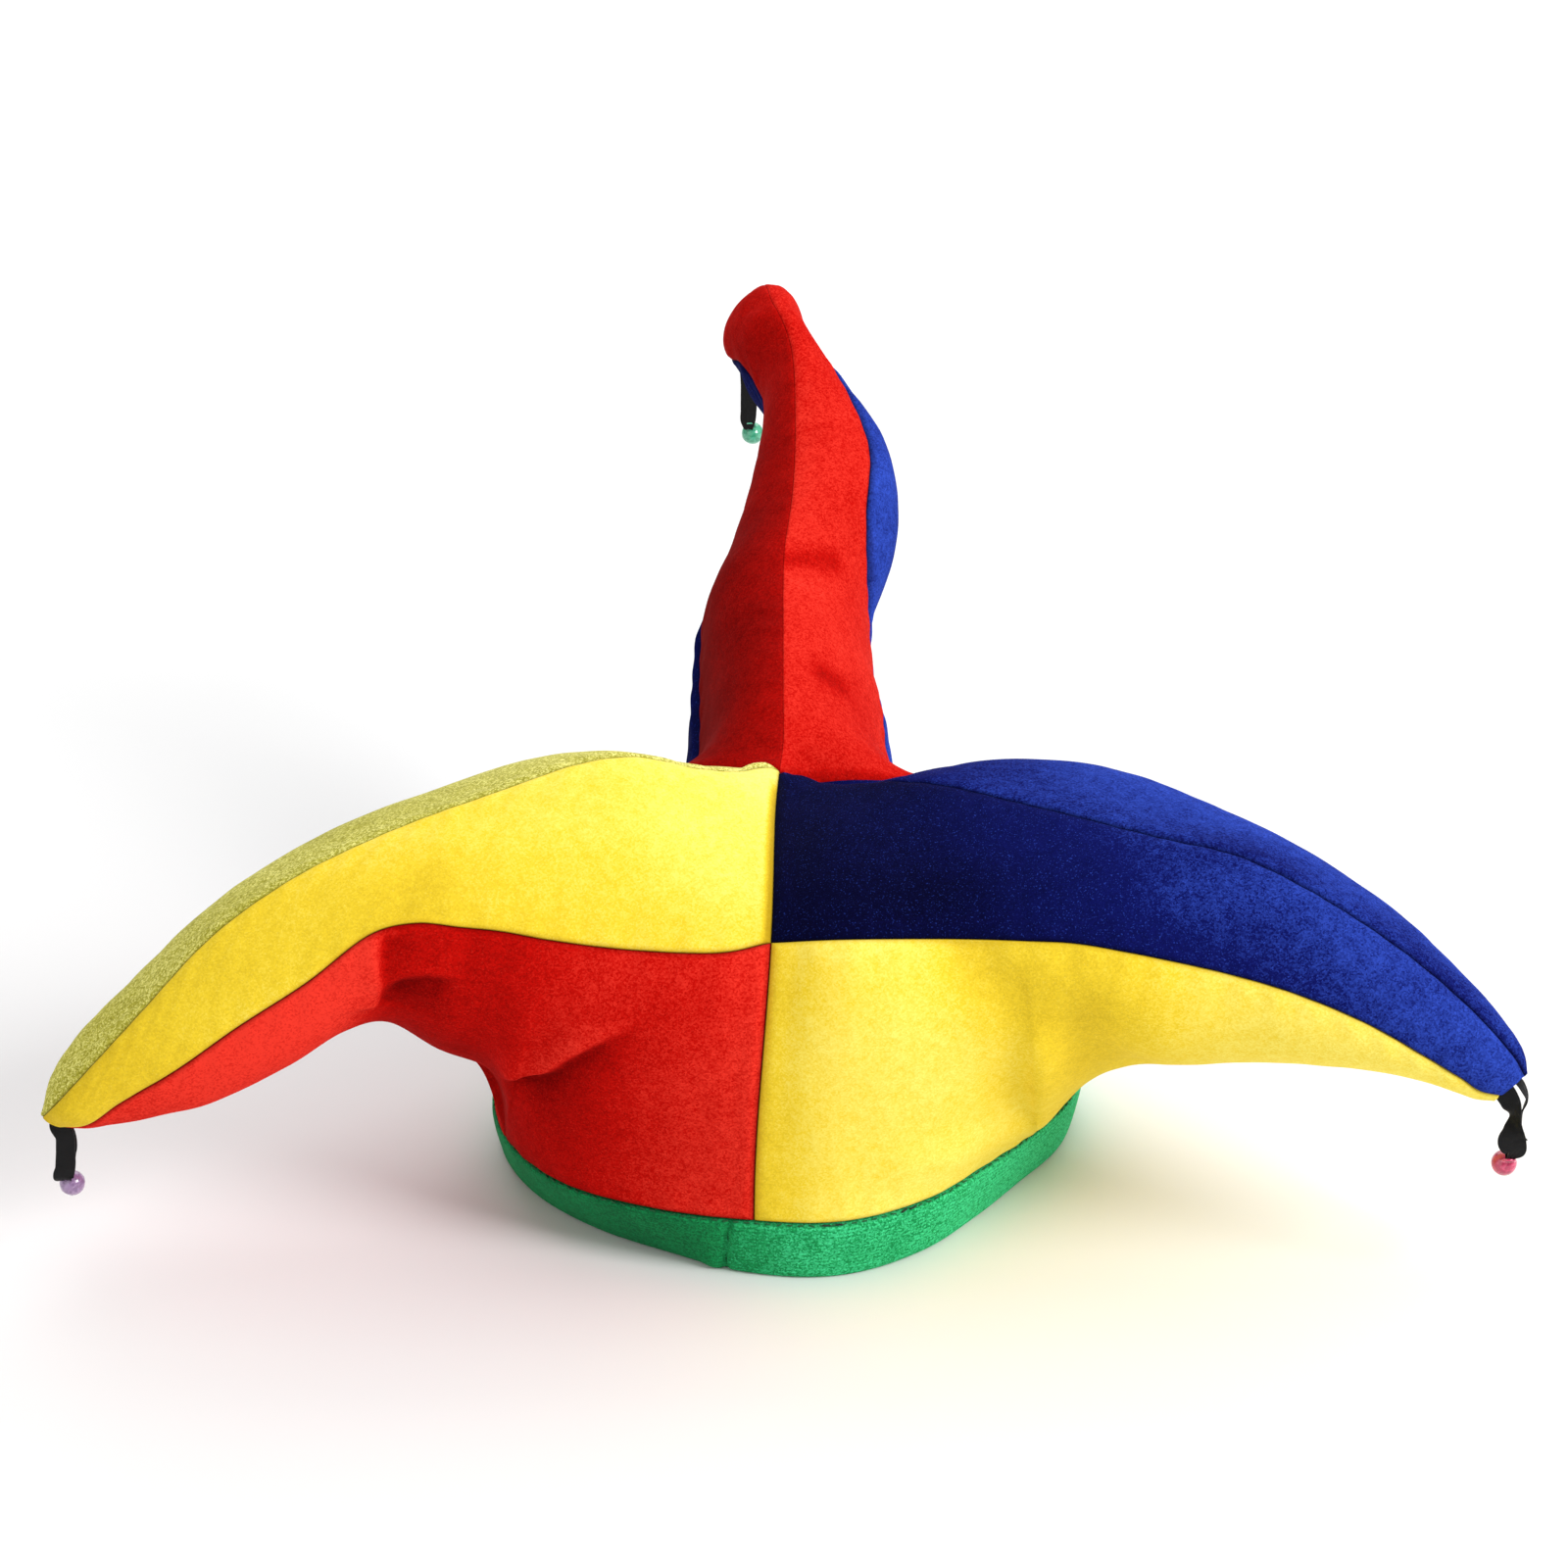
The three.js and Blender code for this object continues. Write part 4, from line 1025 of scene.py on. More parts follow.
RIBBON_BLACK = SatinFinish("black satin ribbon", "black_ribbon", "040404", "1B191C")
LILAC = EnamelFinish("lilac enamel", "lilac_enamel", "7C5F86", "9576A0", "B193BC")
PINK = EnamelFinish("pink enamel", "pink_enamel", "A01C48", "C42C5A", "DE4E78")
MINT = EnamelFinish("mint enamel", "mint_enamel", "338F6D", "47AE85", "6CC9A4")
THREAD = ThreadFinish("green thread", "green_velour", "063B1D", "0D6B38")
DARK_THREAD = ThreadFinish("dark thread", "green_velour", "04150B", "0A2A17")


# Meshes from grids of points

INNER_LIE = 0.3  # how the pile lies on the inside of every panel


def part_shift() -> Array:
    """Returns how far the part's frame lies from the brim's centre, in millimetres."""
    angles = np.arange(48) * 7.5
    lower = BRIM.point(angles, 0.0, 0.0)
    upper = BRIM.point(angles, 0.0, BRIM.band_height - 1.5)
    low = np.minimum(lower.min(axis=0), upper.min(axis=0))
    corner = np.array(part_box("brim_band")[0]) / MM
    return np.array([corner[0] - low[0], corner[1] - low[1], 0.0])


SHIFT = part_shift()


@dataclass
class Sheet:
    """A grid of cloth: rows along it and columns across it."""

    outer: Array
    inner: Array
    seam: Array
    lie_and_light: Array
    cloth: Array
    flipped: bool = False

    @property
    def size(self) -> tuple[int, int]:
        """Returns the number of rows and columns."""
        return self.outer.shape[0], self.outer.shape[1]


def add_object(name: str, data: bpy.types.ID) -> bpy.types.Object:
    """Puts a mesh, curve, light or camera in the scene as a new object."""
    made = bpy.data.objects.new(name, data)
    bpy.context.scene.collection.objects.link(made)
    return made


def make_object(
    name: str,
    points: Array,
    faces: Sequence[Sequence[int]],
    finish: VelourFinish | SatinFinish | EnamelFinish | ThreadFinish,
    fields: dict[str, Array] | None = None,
    cloth: Array | None = None,
    sharp: set[tuple[int, int]] | None = None,
) -> bpy.types.Object:
    """Makes a piece from points in millimetres in the brim's frame.

    Args:
        name: the piece's name.
        points: its vertices.
        faces: its faces.
        finish: what it is made of.
        fields: values at each vertex by name: the distance to a seam, and how the pile lies with painted
            light and shade.
        cloth: the map along and across the cloth at each vertex, in millimetres.
        sharp: edges that stay sharp.

    Returns:
        The new object, in the scene, smooth shaded and dressed.
    """
    mesh = bpy.data.meshes.new(name)
    mesh.from_pydata(((points + SHIFT) * MM).tolist(), [], [list(map(int, f)) for f in faces])
    mesh.update()
    for polygon in mesh.polygons:
        polygon.use_smooth = True
    for field, values in (fields or {}).items():
        mesh.attributes.new(field, "FLOAT", "POINT").data.foreach_set("value", values)
    if cloth is not None:
        layer = mesh.uv_layers.new(name="cloth")
        corners = np.zeros(len(mesh.loops), int)
        mesh.loops.foreach_get("vertex_index", corners)
        layer.data.foreach_set("uv", cloth[corners].ravel())
    if sharp:
        for edge in mesh.edges:
            a, b = edge.vertices
            if (a, b) in sharp or (b, a) in sharp:
                edge.use_edge_sharp = True
    mesh.materials.append(bpy.data.materials.get(finish.name) or finish.material())
    return add_object(name, mesh)


def settle(piece: bpy.types.Object, slot: str, *nodes: str) -> None:
    """Rides a piece on the hat's one body, hides the solids that it replaces, and logs its faces.

    Args:
        piece: the finished piece.
        slot: the material slot of its finish; not used.
        nodes: the solids that it replaces, if any.
    """
    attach(piece, "root")
    if nodes:
        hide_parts(*nodes)
    LOG.info("%s: %d faces", piece.name, len(piece.data.polygons))


def shell(
    name: str, sheets: Sequence[Sheet], merge_from: int, finish: VelourFinish
) -> bpy.types.Object:
    """Joins sheets into one closed wall of cloth.

    Args:
        name: the piece's name.
        sheets: one grid, or two that share their last column from a row on.
        merge_from: the first row that two grids share.
        finish: the cloth.

    Returns:
        The piece, with its faces pointing out.
    """
    grids: list[Array] = []
    count = 0
    for k, sheet in enumerate(sheets):
        rows, columns = sheet.size
        grid = np.arange(rows * columns).reshape(rows, columns) + count
        count += rows * columns
        if k == 1:
            grid[merge_from:, -1] = grids[0][merge_from:, -1]
        grids.append(grid)
    faces: list[list[int]] = []
    for sheet, grid in zip(sheets, grids):
        corners = np.stack([grid[:-1, :-1], grid[:-1, 1:], grid[1:, 1:], grid[1:, :-1]], axis=-1)
        quads = corners.reshape(-1, 4)
        faces.extend((quads[:, ::-1] if sheet.flipped else quads).tolist())
    outer = np.vstack([sheet.outer.reshape(-1, 3) for sheet in sheets])
    inner = np.vstack([sheet.inner.reshape(-1, 3) for sheet in sheets])
    seam = np.concatenate([sheet.seam.ravel() for sheet in sheets])
    lie_and_light = np.concatenate([sheet.lie_and_light.ravel() for sheet in sheets])
    cloth = np.vstack([sheet.cloth.reshape(-1, 2) for sheet in sheets])
    used = np.unique(np.array(faces).ravel())
    renumber = np.full(count, -1)
    renumber[used] = np.arange(len(used))
    faces = [[int(renumber[v]) for v in face] for face in faces]
    outer, inner, cloth = outer[used], inner[used], cloth[used]
    total = len(used)
    fields = {
        "seam_mm": np.concatenate([seam[used], np.full(total, NO_SEAM)]),
        "lie_and_light": np.concatenate([lie_and_light[used], np.full(total, INNER_LIE)]),
    }
    directed: dict[tuple[int, int], bool] = {}
    for face in faces:
        for a, b in zip(face, face[1:] + face[:1]):
            if (b, a) in directed:
                del directed[(b, a)]
            else:
                directed[(a, b)] = True
    walls = [[b, a, a + total, b + total] for a, b in directed]
    backs = [[v + total for v in reversed(face)] for face in faces]
    points = np.vstack([outer, inner])
    all_faces = faces + backs + walls
    p, q, r, t = (points[corner] for corner in np.array(faces).T)
    outward = np.sum(np.cross(r - p, t - q) * (p - inner.mean(axis=0)))
    if outward < 0:
        all_faces = [face[::-1] for face in all_faces]
    sharp = set(directed) | {(a + total, b + total) for a, b in directed}
    return make_object(
        name,
        points,
        all_faces,
        finish,
        fields=fields,
        cloth=np.vstack([cloth, cloth]),
        sharp=sharp,
    )


@dataclass(frozen=True)
class Roll:
    """How a panel's edge rolls into a seam: how near the seam it starts, and how deep it goes."""

    reach: float
    depth: float

    def sink(self, distance: Array) -> Array:
        """Returns how far the cloth sinks at a distance from the seam."""
        rolled = np.clip(1 - distance / self.reach, 0, 1)
        return self.depth * (1 - np.sqrt(1 - rolled**2))


@dataclass(frozen=True)
class HornPanels:
    """Cuts and sews the three panels of one horn."""

    shape: HornShape
    near_finish: VelourFinish
    far_finish: VelourFinish
    lower_finish: VelourFinish
    near_node: str
    far_node: str
    ridge_roll: Roll = Roll(4.0, 1.6)
    side_roll: Roll = Roll(2.4, 1.1)
    valley_roll: Roll = Roll(3.2, 1.5)
    foot_roll: Roll = Roll(2.6, 0.8)
    length: float = 340.0
    row_length: float = 1.5
    column_length: float = 1.6
    edge_steps: tuple[float, ...] = (0.0, 0.35, 0.8, 1.4, 2.1, 3.0, 4.0)
    steady_reach: int = 5
    seam_blend: float = 3.5
    pucker_run: float = 1.9
    pucker: float = 0.2
    swell: float = 0.45
    ripple: float = 0.2
    uneven_lie: float = 0.1
    valley_painted_shade: float = 0.2
    ridge_faint: float = 1.0
    seed: int = 3

    @property
    def places(self) -> Array:
        """Returns the places of the rows, close together at the valley seam."""
        start = np.array(self.edge_steps) / self.length
        rows = self.length / self.row_length
        crown = np.linspace(start[-1], SIZES.armpit, int(SIZES.armpit * rows))
        horn = np.linspace(SIZES.armpit, 1, int((1 - SIZES.armpit) * rows))
        return np.concatenate([start, crown[1:], horn[1:]])

    def _shares(self, half: Half, cloth: Cloth, places: Array) -> tuple[Array, Array]:
        """Spaces the columns by true length, close together at the seams.

        Args:
            half: which side of the ridge seam.
            cloth: above or below the side seam.
            places: the rows' places.

        Returns:
            The columns' shares, and the length from the first seam, rows by columns.
        """
        dense = np.tile(np.linspace(0, 1, 81), (len(places), 1))
        points = self.shape.surface(half, cloth, places, dense)
        steps = np.linalg.norm(np.diff(points, axis=1), axis=-1)
        length = np.concatenate([np.zeros((len(places), 1)), np.cumsum(steps, axis=1)], axis=1)
        columns = int(np.percentile(length[:, -1], 85) / self.column_length) + 2 * len(self.edge_steps)
        edge = np.array(self.edge_steps)
        wanted = np.zeros((len(places), columns))
        for i, whole in enumerate(length[:, -1]):
            close = edge * min(1.0, whole / 16.0)
            inside = columns - 2 * len(edge)
            middle = np.linspace(close[-1], whole - close[-1], inside + 2)[1:-1]
            wanted[i] = np.concatenate([close, middle, whole - close[::-1]])
        shares = np.array([np.interp(wanted[i], length[i], dense[i]) for i in range(len(places))])
        return shares, wanted

    def _outward(
        self, half: Half, cloth: Cloth, points: Array, section: HornSection, gaps: tuple[Array, ...]
    ) -> Array:
        """Finds the cloth's outward directions, which neighbouring panels share at their seams.

        Args:
            half: which side of the ridge seam.
            cloth: above or below the side seam.
            points: the grid of cloth.
            section: the rows' sections.
            gaps: distance to the first column, the last column and the first row.

        Returns:
            A unit direction for each point.
        """
        outward = unit(np.cross(np.gradient(points, axis=0), np.gradient(points, axis=1)))
        outward = steady_rows(outward, self.steady_reach)
        if np.cross(self.shape.ahead, self.shape.side_of(half))[2] < 0:
            outward = -outward
        seam_out = unit(np.cross(np.gradient(section.seam, axis=0), section.seam_passing))
        seam_out *= np.sign(dot(seam_out, section.seam - section.centre))

        def squared(point: Array) -> Array:
            """Returns the direction from the section's centre to a point, square to the section."""
            away = point - section.centre
            return unit(away - section.across * dot(away, section.across))

        if cloth is Cloth.UPPER:
            first, last = squared(section.ridge), seam_out
        else:
            level = unit(outward[:, -1] * [1, 1, 0])
            footed = (self.places <= SIZES.armpit)[:, None]
            first, last = seam_out, np.where(footed, level, squared(section.bottom))
        from_first, from_last, from_valley = gaps
        for edge, gap in ((first, from_first), (last, from_last)):
            outward = unit(mix(edge[:, None, :], outward, eased(gap, 0, self.seam_blend)[..., None]))
        valley = self.shape.near if half is Half.NEAR else self.shape.far
        run = np.gradient(points[0], axis=0)
        run[0] = section.ridge_leaving[0] if cloth is Cloth.UPPER else section.seam_passing[0]
        if cloth is Cloth.UPPER:
            run[-1] = section.seam_passing[0]
        up_out = unit(np.cross(run, compass(valley.angle + 90)))
        up_out *= np.sign(dot(up_out, compass(valley.angle) + UP))
        outward = unit(mix(up_out[None], outward, eased(from_valley, 0, self.seam_blend)[..., None]))
        apex = np.array([SIZES.crown_offset, 0, SIZES.crown_height])
        from_apex = np.linalg.norm(points - apex, axis=-1)
        return unit(mix(UP, outward, eased(from_apex, 0, self.seam_blend)[..., None]))

    def sheet(self, half: Half, cloth: Cloth) -> Sheet:
        """Makes the grid of one half's upper or lower cloth.

        Args:
            half: which side of the ridge seam.
            cloth: above or below the side seam.

        Returns:
            The grid with its rolled edges, folds and wall.
        """
        places = self.places
        section = self.shape.section(half, places)
        shares, across = self._shares(half, cloth, places)
        points = self.shape.surface(half, cloth, places, shares)
        run = np.linalg.norm(np.diff(points, axis=0), axis=-1)
        along = np.vstack([np.zeros((1, points.shape[1])), np.cumsum(run, axis=0)])
        from_end = across[:, -1:] - across
        outward = self._outward(half, cloth, points, section, (across, from_end, along))

        first_roll, last_roll = self.ridge_roll, self.side_roll
        to_last = from_end
        if cloth is Cloth.LOWER:
            first_roll, last_roll = self.side_roll, self.foot_roll
            armpit_row = int(np.argmax(places > SIZES.armpit)) - 1
            beyond = np.maximum(along[:, -1:] - along[armpit_row, -1], 0)
            to_last = np.hypot(from_end, beyond)
        seam = np.minimum(np.minimum(across, to_last), along)
        sunk = np.maximum(first_roll.sink(across), last_roll.sink(to_last))
        sunk = np.maximum(sunk, self.valley_roll.sink(along))

        waves = np.sin(along / self.pucker_run + 2.2 * soft_waves(points, 40, self.seed))
        near_seam = seam / 3.0
        puckers = self.pucker * waves * near_seam * np.exp(1 - near_seam)
        swells = self.swell * soft_waves(points, 55, self.seed + 1)
        ripples = self.ripple * soft_waves(points, 16, self.seed + 2)
        slack = (swells + ripples) * eased(seam, 0, 12) + puckers
        push = slack * (1 - eased(places, 0.9, 1))[:, None] - sunk
        panel = f"{self.shape.name}_{half.value}_{cloth.value}"
        # The pile's tone from the panel's table: how the nap lies, with painted light and shade.
        lie_and_light_rows = np.array(PILE_LIE_AND_PAINTED_LIGHT[panel])
        lie_and_light_ends = smooth_rows(lie_and_light_rows[:, 0], lie_and_light_rows[:, 1:], places)
        lie_and_light = mix(lie_and_light_ends[:, :1], lie_and_light_ends[:, 1:], across / across[:, -1:])
        lie_and_light += self.uneven_lie * soft_waves(points, 30, self.seed + 3)
        # Painted shade along the front valley seam on the near upper cloth, where the next horn shades it.
        if half is Half.NEAR and cloth is Cloth.UPPER:
            lie_and_light -= self.valley_painted_shade * (1 - eased(along, 0.4, 4.2)) * eased(across, 3, 14)
        # Folds move the cloth and paint light and shade into its tone: darker in dips and below a lip,
        # lighter on the lip.
        for fold in PANEL_FOLDS.get(panel, ()):
            moved, turned = fold.shape(points, outward)
            push += moved * eased(seam, 0, 2.5)
            lie_and_light += turned
        outer = points + outward * push[..., None]
        for fold in CROSSING_FOLDS:
            outer += UP * fold.shape(points, outward)[0][..., None]
        wall = mix(SIZES.wall, SIZES.tip_wall, eased(places, SIZES.trim_start, 1))
        inner = outer - outward * wall[:, None, None]
        flat = np.stack([along, across], axis=-1)
        # The ridge seam's painted shade is drawn narrower by ridge_faint.
        shown = seam * np.where((across < from_end) & (cloth is Cloth.UPPER), self.ridge_faint, 1.0)
        return Sheet(outer, inner, shown, np.clip(lie_and_light, 0, 1), flat, half is Half.FAR)

    def build(self) -> list[bpy.types.Object]:
        """Makes the horn's three panels and fits them to the frame.

        Returns:
            The pieces.
        """
        pieces = []
        halves = (
            (Half.NEAR, self.near_node, self.near_finish),
            (Half.FAR, self.far_node, self.far_finish),
        )
        for half, node, finish in halves:
            piece = shell(f"{node}_cloth", [self.sheet(half, Cloth.UPPER)], 0, finish)
            settle(piece, finish.slot, node)
            pieces.append(piece)
        near, far = self.sheet(Half.NEAR, Cloth.LOWER), self.sheet(Half.FAR, Cloth.LOWER)
        armpit_row = int(np.argmax(self.places > SIZES.armpit)) - 1
        for line in ("outer", "inner"):
            middle = (getattr(near, line)[armpit_row:, -1] + getattr(far, line)[armpit_row:, -1]) / 2
            getattr(near, line)[armpit_row:, -1] = middle
        node = f"{self.shape.name}_lower_panel"
        lower = shell(f"{node}_cloth", [near, far], armpit_row, self.lower_finish)
        settle(lower, self.lower_finish.slot, node)
        pieces.append(lower)
        return pieces


@dataclass(frozen=True)
class Band:
    """The folded velour band round the head opening, butted at one seam."""

    finish: VelourFinish = GREEN
    columns: int = 420
    joint_angle: float = -104.0
    joint_depth: float = 1.6
    joint_width: float = 1.1
    padding: float = 0.7
    joint_slant: float = -0.14
    mean_share: float = 0.88
    tail: float = 1.3
    tail_place: float = -5.5
    tail_width: float = 3.2
    swell: float = 0.3
    ripple: float = 0.12
    uneven_lie: float = 0.12
    # The band's tone by compass angle, painted light and shade: darker on the left, brighter on the right,
    # as the light falls.
    lie_and_light_rows: tuple[tuple[float, float], ...] = (
        *((-180, 0.3), (-150, 0.22), (-107, 0.28), (-101, 0.45)),
        *((-60, 0.72), (-15, 0.95), (60, 0.5), (180, 0.3)),
    )

    def _profile(self) -> Array:
        """Returns inset and height round the folded section, from the outside bottom inward."""
        h = BRIM.band_height
        t = BRIM.band_thickness
        outside = [
            (1.6, 0.0),
            (0.75, 0.25),
            (0.2, 0.9),
            (0.0, 1.9),
            *[(0.0, v) for v in np.linspace(3.2, h - 3.4, 12)],
            (0.1, h - 2.2),
            (0.45, h - 1.2),
            (1.1, h - 0.45),
            (1.9, h - 0.1),
        ]
        inside = [
            (t - 0.5, h - 0.1),
            (t - 0.1, h - 0.7),
            *[(t, v) for v in np.linspace(h - 2, 2, 7)],
            (t - 0.3, 0.7),
            (t - 1.0, 0.12),
            (t - 1.9, 0.0),
        ]
        return np.array(outside + inside)

    def build(self) -> bpy.types.Object:
        """Makes the band.

        Returns:
            The piece, in place of the plain band.
        """
        profile = self._profile()
        angles = np.linspace(0, 360, self.columns, endpoint=False)
        grid_angle = np.repeat(angles[:, None], len(profile), axis=1)
        inset = np.repeat(profile[None, :, 0], len(angles), axis=0)
        height = np.repeat(profile[None, :, 1], len(angles), axis=0)
        points = BRIM.point(grid_angle, inset, height)
        away = np.mod(grid_angle - self.joint_angle + 180, 360) - 180
        arc_mm = np.radians(away) * BRIM.radius * self.mean_share
        slanted = arc_mm + (height - BRIM.band_height / 2) * self.joint_slant
        joint = np.exp(-((slanted / self.joint_width) ** 2))
        outer_face = eased(BRIM.band_thickness / 2 - inset, 0, 0.6)
        up = height / BRIM.band_height
        padded = self.padding * np.sin(np.clip(up, 0, 1) * math.pi) * outer_face
        swell = self.swell * soft_waves(points, 38, 11) + self.ripple * soft_waves(points, 12, 12)
        off_floor = eased(height, 0, 3)
        from_tail = (arc_mm - self.tail_place) / self.tail_width
        tail = self.tail * np.exp(-(from_tail**2)) * (1 - eased(height, 2, 8))
        push = padded - self.joint_depth * joint + swell * off_floor + tail * outer_face
        points += compass(grid_angle) * (push * outer_face)[..., None]
        rows, columns = points.shape[:2]
        index = np.arange(rows * columns).reshape(rows, columns)
        following = np.roll(index, -1, axis=0)
        beside = np.roll(index, -1, axis=1)
        across = np.roll(following, -1, axis=1)
        faces = np.stack([index, following, across, beside], axis=-1).reshape(-1, 4)
        # Distances for the painted seam shade: from the butt joint and from the band's top edge.
        seam = np.abs(slanted) + (1 - outer_face) * NO_SEAM
        seam = np.minimum(seam, (BRIM.band_height - height) * 1.6)
        seam = np.where(outer_face > 0.5, seam, NO_SEAM)
        turned = np.mod(grid_angle + 180, 360) - 180
        lie_and_light_rows = np.array(self.lie_and_light_rows)
        lie_and_light = smooth_rows(lie_and_light_rows[:, 0], lie_and_light_rows[:, 1], turned.ravel())[:, 0]
        lie_and_light += self.uneven_lie * soft_waves(points, 20, 13).ravel()
        piece = make_object(
            "brim_band_cloth",
            points.reshape(-1, 3),
            faces.tolist(),
            self.finish,
            fields={"seam_mm": seam.ravel(), "lie_and_light": np.clip(lie_and_light, 0, 1)},
            cloth=np.stack([arc_mm, height], axis=-1).reshape(-1, 2),
        )
        settle(piece, self.finish.slot, "brim_band")
        return piece


@dataclass(frozen=True)
class Drop:
    """A bell on its ribbon loop below one horn's tip.

    The front and back rows lead from the tip down to the bell's eye. Each gives how far the ribbon's
    middle lies to the right, down and back from the tip, then the ribbon's width and its twist.
    """

    shape: HornShape
    eye_place: Triple
    hang: Triple
    front: tuple[tuple[float, float, float, float, float], ...]
    back: tuple[tuple[float, float, float, float, float], ...]
    finish: EnamelFinish
    ribbon_width: float = 6.0
    ribbon_thickness: float = 0.4
    ribbon_pinch: float = 1.5
    ribbon_tuck: float = 7.0
    tuck_width: float = 3.0
    bell_radius: float = 4.0
    bell_wall: float = 0.5
    bell_swirl: float = 0.16
    eye_radius: float = 1.9
    eye_wire: float = 0.45
    slot_width: float = 0.9
    slot_span: float = 1.7

    def _middle(self, place: float) -> Array:
        """Returns the middle of the horn's section at a place."""
        at = np.array([place])
        return (self.shape.line("ridge", at)[0] + self.shape.line("under", at)[0]) / 2

    @property
    def tip(self) -> Array:
        """Returns the point where the ribbon leaves the horn."""
        return self._middle(1.0)

    @property
    def eye(self) -> Array:
        """Returns the centre of the bell's eye."""
        right, down, back = self.eye_place
        return self.tip + np.array([right, back, -down])

    def _stations(self) -> Array:
        """Returns the ribbon's places along the loop, with its width and twist at each."""
        out = unit(self.tip - self._middle(0.996))

        def strand(rows: Sequence[Sequence[float]]) -> list[Array]:
            """Returns one strand's rows, from inside the tip down to the eye."""
            made = [
                np.array([*(self.tip + (right, back, -down)), width, twist])
                for right, down, back, width, twist in rows
            ]
            tucked = made[0].copy()
            tucked[:3] -= out * self.ribbon_tuck
            tucked[3] = self.tuck_width
            return [tucked, *made]

        eye = np.array([*self.eye, self.ribbon_pinch, 0.0])
        return np.array([*strand(self.front), eye, *reversed(strand(self.back))])

    def ribbon(self) -> bpy.types.Object:
        """Makes the satin loop.

        Returns:
            The piece, in place of the plain ribbon.
        """
        stations = self._stations()
        spans = np.linalg.norm(np.diff(stations[:, :3], axis=0), axis=1)
        knots = np.concatenate([[0.0], np.cumsum(spans)])
        count = 201
        t = np.linspace(0, knots[-1], count)
        read = smooth_rows(knots, stations, t)
        middle = read[:, :3]
        width = np.maximum(read[:, 3], self.ribbon_pinch)
        turn = np.radians(read[:, 4])
        run = unit(np.gradient(middle, axis=0))
        level = np.tile([1.0, 0.0, 0.0], (count, 1))
        flat = unit(level - run * dot(level, run))
        thick = np.cross(run, flat)
        c, s = np.cos(turn)[:, None], np.sin(turn)[:, None]
        flat, thick = flat * c + thick * s, thick * c - flat * s
        u = np.linspace(-1, 1, 13)
        slack = np.clip(1 - width / self.ribbon_width, 0, 1)[:, None]
        cup = 0.35 * (u**2 - 0.4)[None, :] * (1 - slack)
        pleat = slack * 0.32 * np.sin(u * 2.5 * math.pi)[None, :]
        side = (width / 2)[:, None] * u[None, :]
        lift = cup + pleat
        layer = middle[:, None, :] + flat[:, None, :] * side[..., None]
        top, bottom = (
            layer + thick[:, None, :] * (lift + sign * self.ribbon_thickness / 2)[..., None]
            for sign in (1, -1)
        )
        loop = np.concatenate([top, bottom[:, ::-1]], axis=1)
        rows, columns = loop.shape[:2]
        index = np.arange(rows * columns).reshape(rows, columns)
        beside = np.roll(index, -1, axis=1)
        faces = np.stack([index[:-1], beside[:-1], beside[1:], index[1:]], axis=-1).reshape(-1, 4)
        caps = [index[0][::-1].tolist(), index[-1].tolist()]
        lengths = np.concatenate([[0], np.cumsum(np.linalg.norm(np.diff(middle, axis=0), axis=1))])
        along = np.repeat(lengths[:, None], columns, axis=1)
        across = np.concatenate([side, side[:, ::-1]], axis=1)
        name = f"ribbon_{self.shape.name}"
        piece = make_object(
            f"{name}_satin",
            loop.reshape(-1, 3),
            faces.tolist() + caps,
            RIBBON_BLACK,
            cloth=np.stack([along, across], axis=-1).reshape(-1, 2) * 10,
        )
        tidy_normals(piece)
        settle(piece, RIBBON_BLACK.slot, name)
        LOG.info("%s: %.0f mm of ribbon", name, lengths[-1])
        return piece

    @property
    def ball_centre(self) -> float:
        """Returns the height of the ball's centre, from the centre of its eye."""
        return -(self.bell_radius + self.eye_radius - self.eye_wire / 2)

    def _ball(self, radius: float, swirl: float) -> bmesh.types.BMesh:
        """Turns a ball below the eye, drawn up into a short neck.

        Args:
            radius: the ball's radius.
            swirl: height of the twisted ridges near the neck.

        Returns:
            A closed mesh with the eye's centre at its origin.
        """
        around, rings = 64, 40
        neck_from, neck_radius = 1.1, 0.75
        centre = self.ball_centre
        ball = bmesh.new()
        bottom = ball.verts.new((0, 0, centre - radius))
        layers = []
        for i in range(1, rings):
            lat = -math.pi / 2 + math.pi * i / rings
            layer = []
            for j in range(around):
                turn = 2 * math.pi * j / around
                up = max(0.0, math.sin(lat))
                ridge = swirl * up**3 * math.sin(5 * (turn + 1.6 * up)) * math.cos(lat)
                seam = 0.09 * math.exp(-((lat / 0.05) ** 2)) if swirl else 0.0
                r = radius * math.cos(lat) + ridge + seam
                z = centre + radius * math.sin(lat)
                if lat > neck_from:
                    r = max(r, neck_radius)
                layer.append(ball.verts.new((r * math.cos(turn), r * math.sin(turn), z)))
            layers.append(layer)
        top = ball.verts.new((0, 0, centre + radius))
        for j in range(around):
            k = (j + 1) % around
            ball.faces.new((bottom, layers[0][k], layers[0][j]))
            for low, high in zip(layers, layers[1:]):
                ball.faces.new((low[j], low[k], high[k], high[j]))
            ball.faces.new((top, layers[-1][j], layers[-1][k]))
        return ball

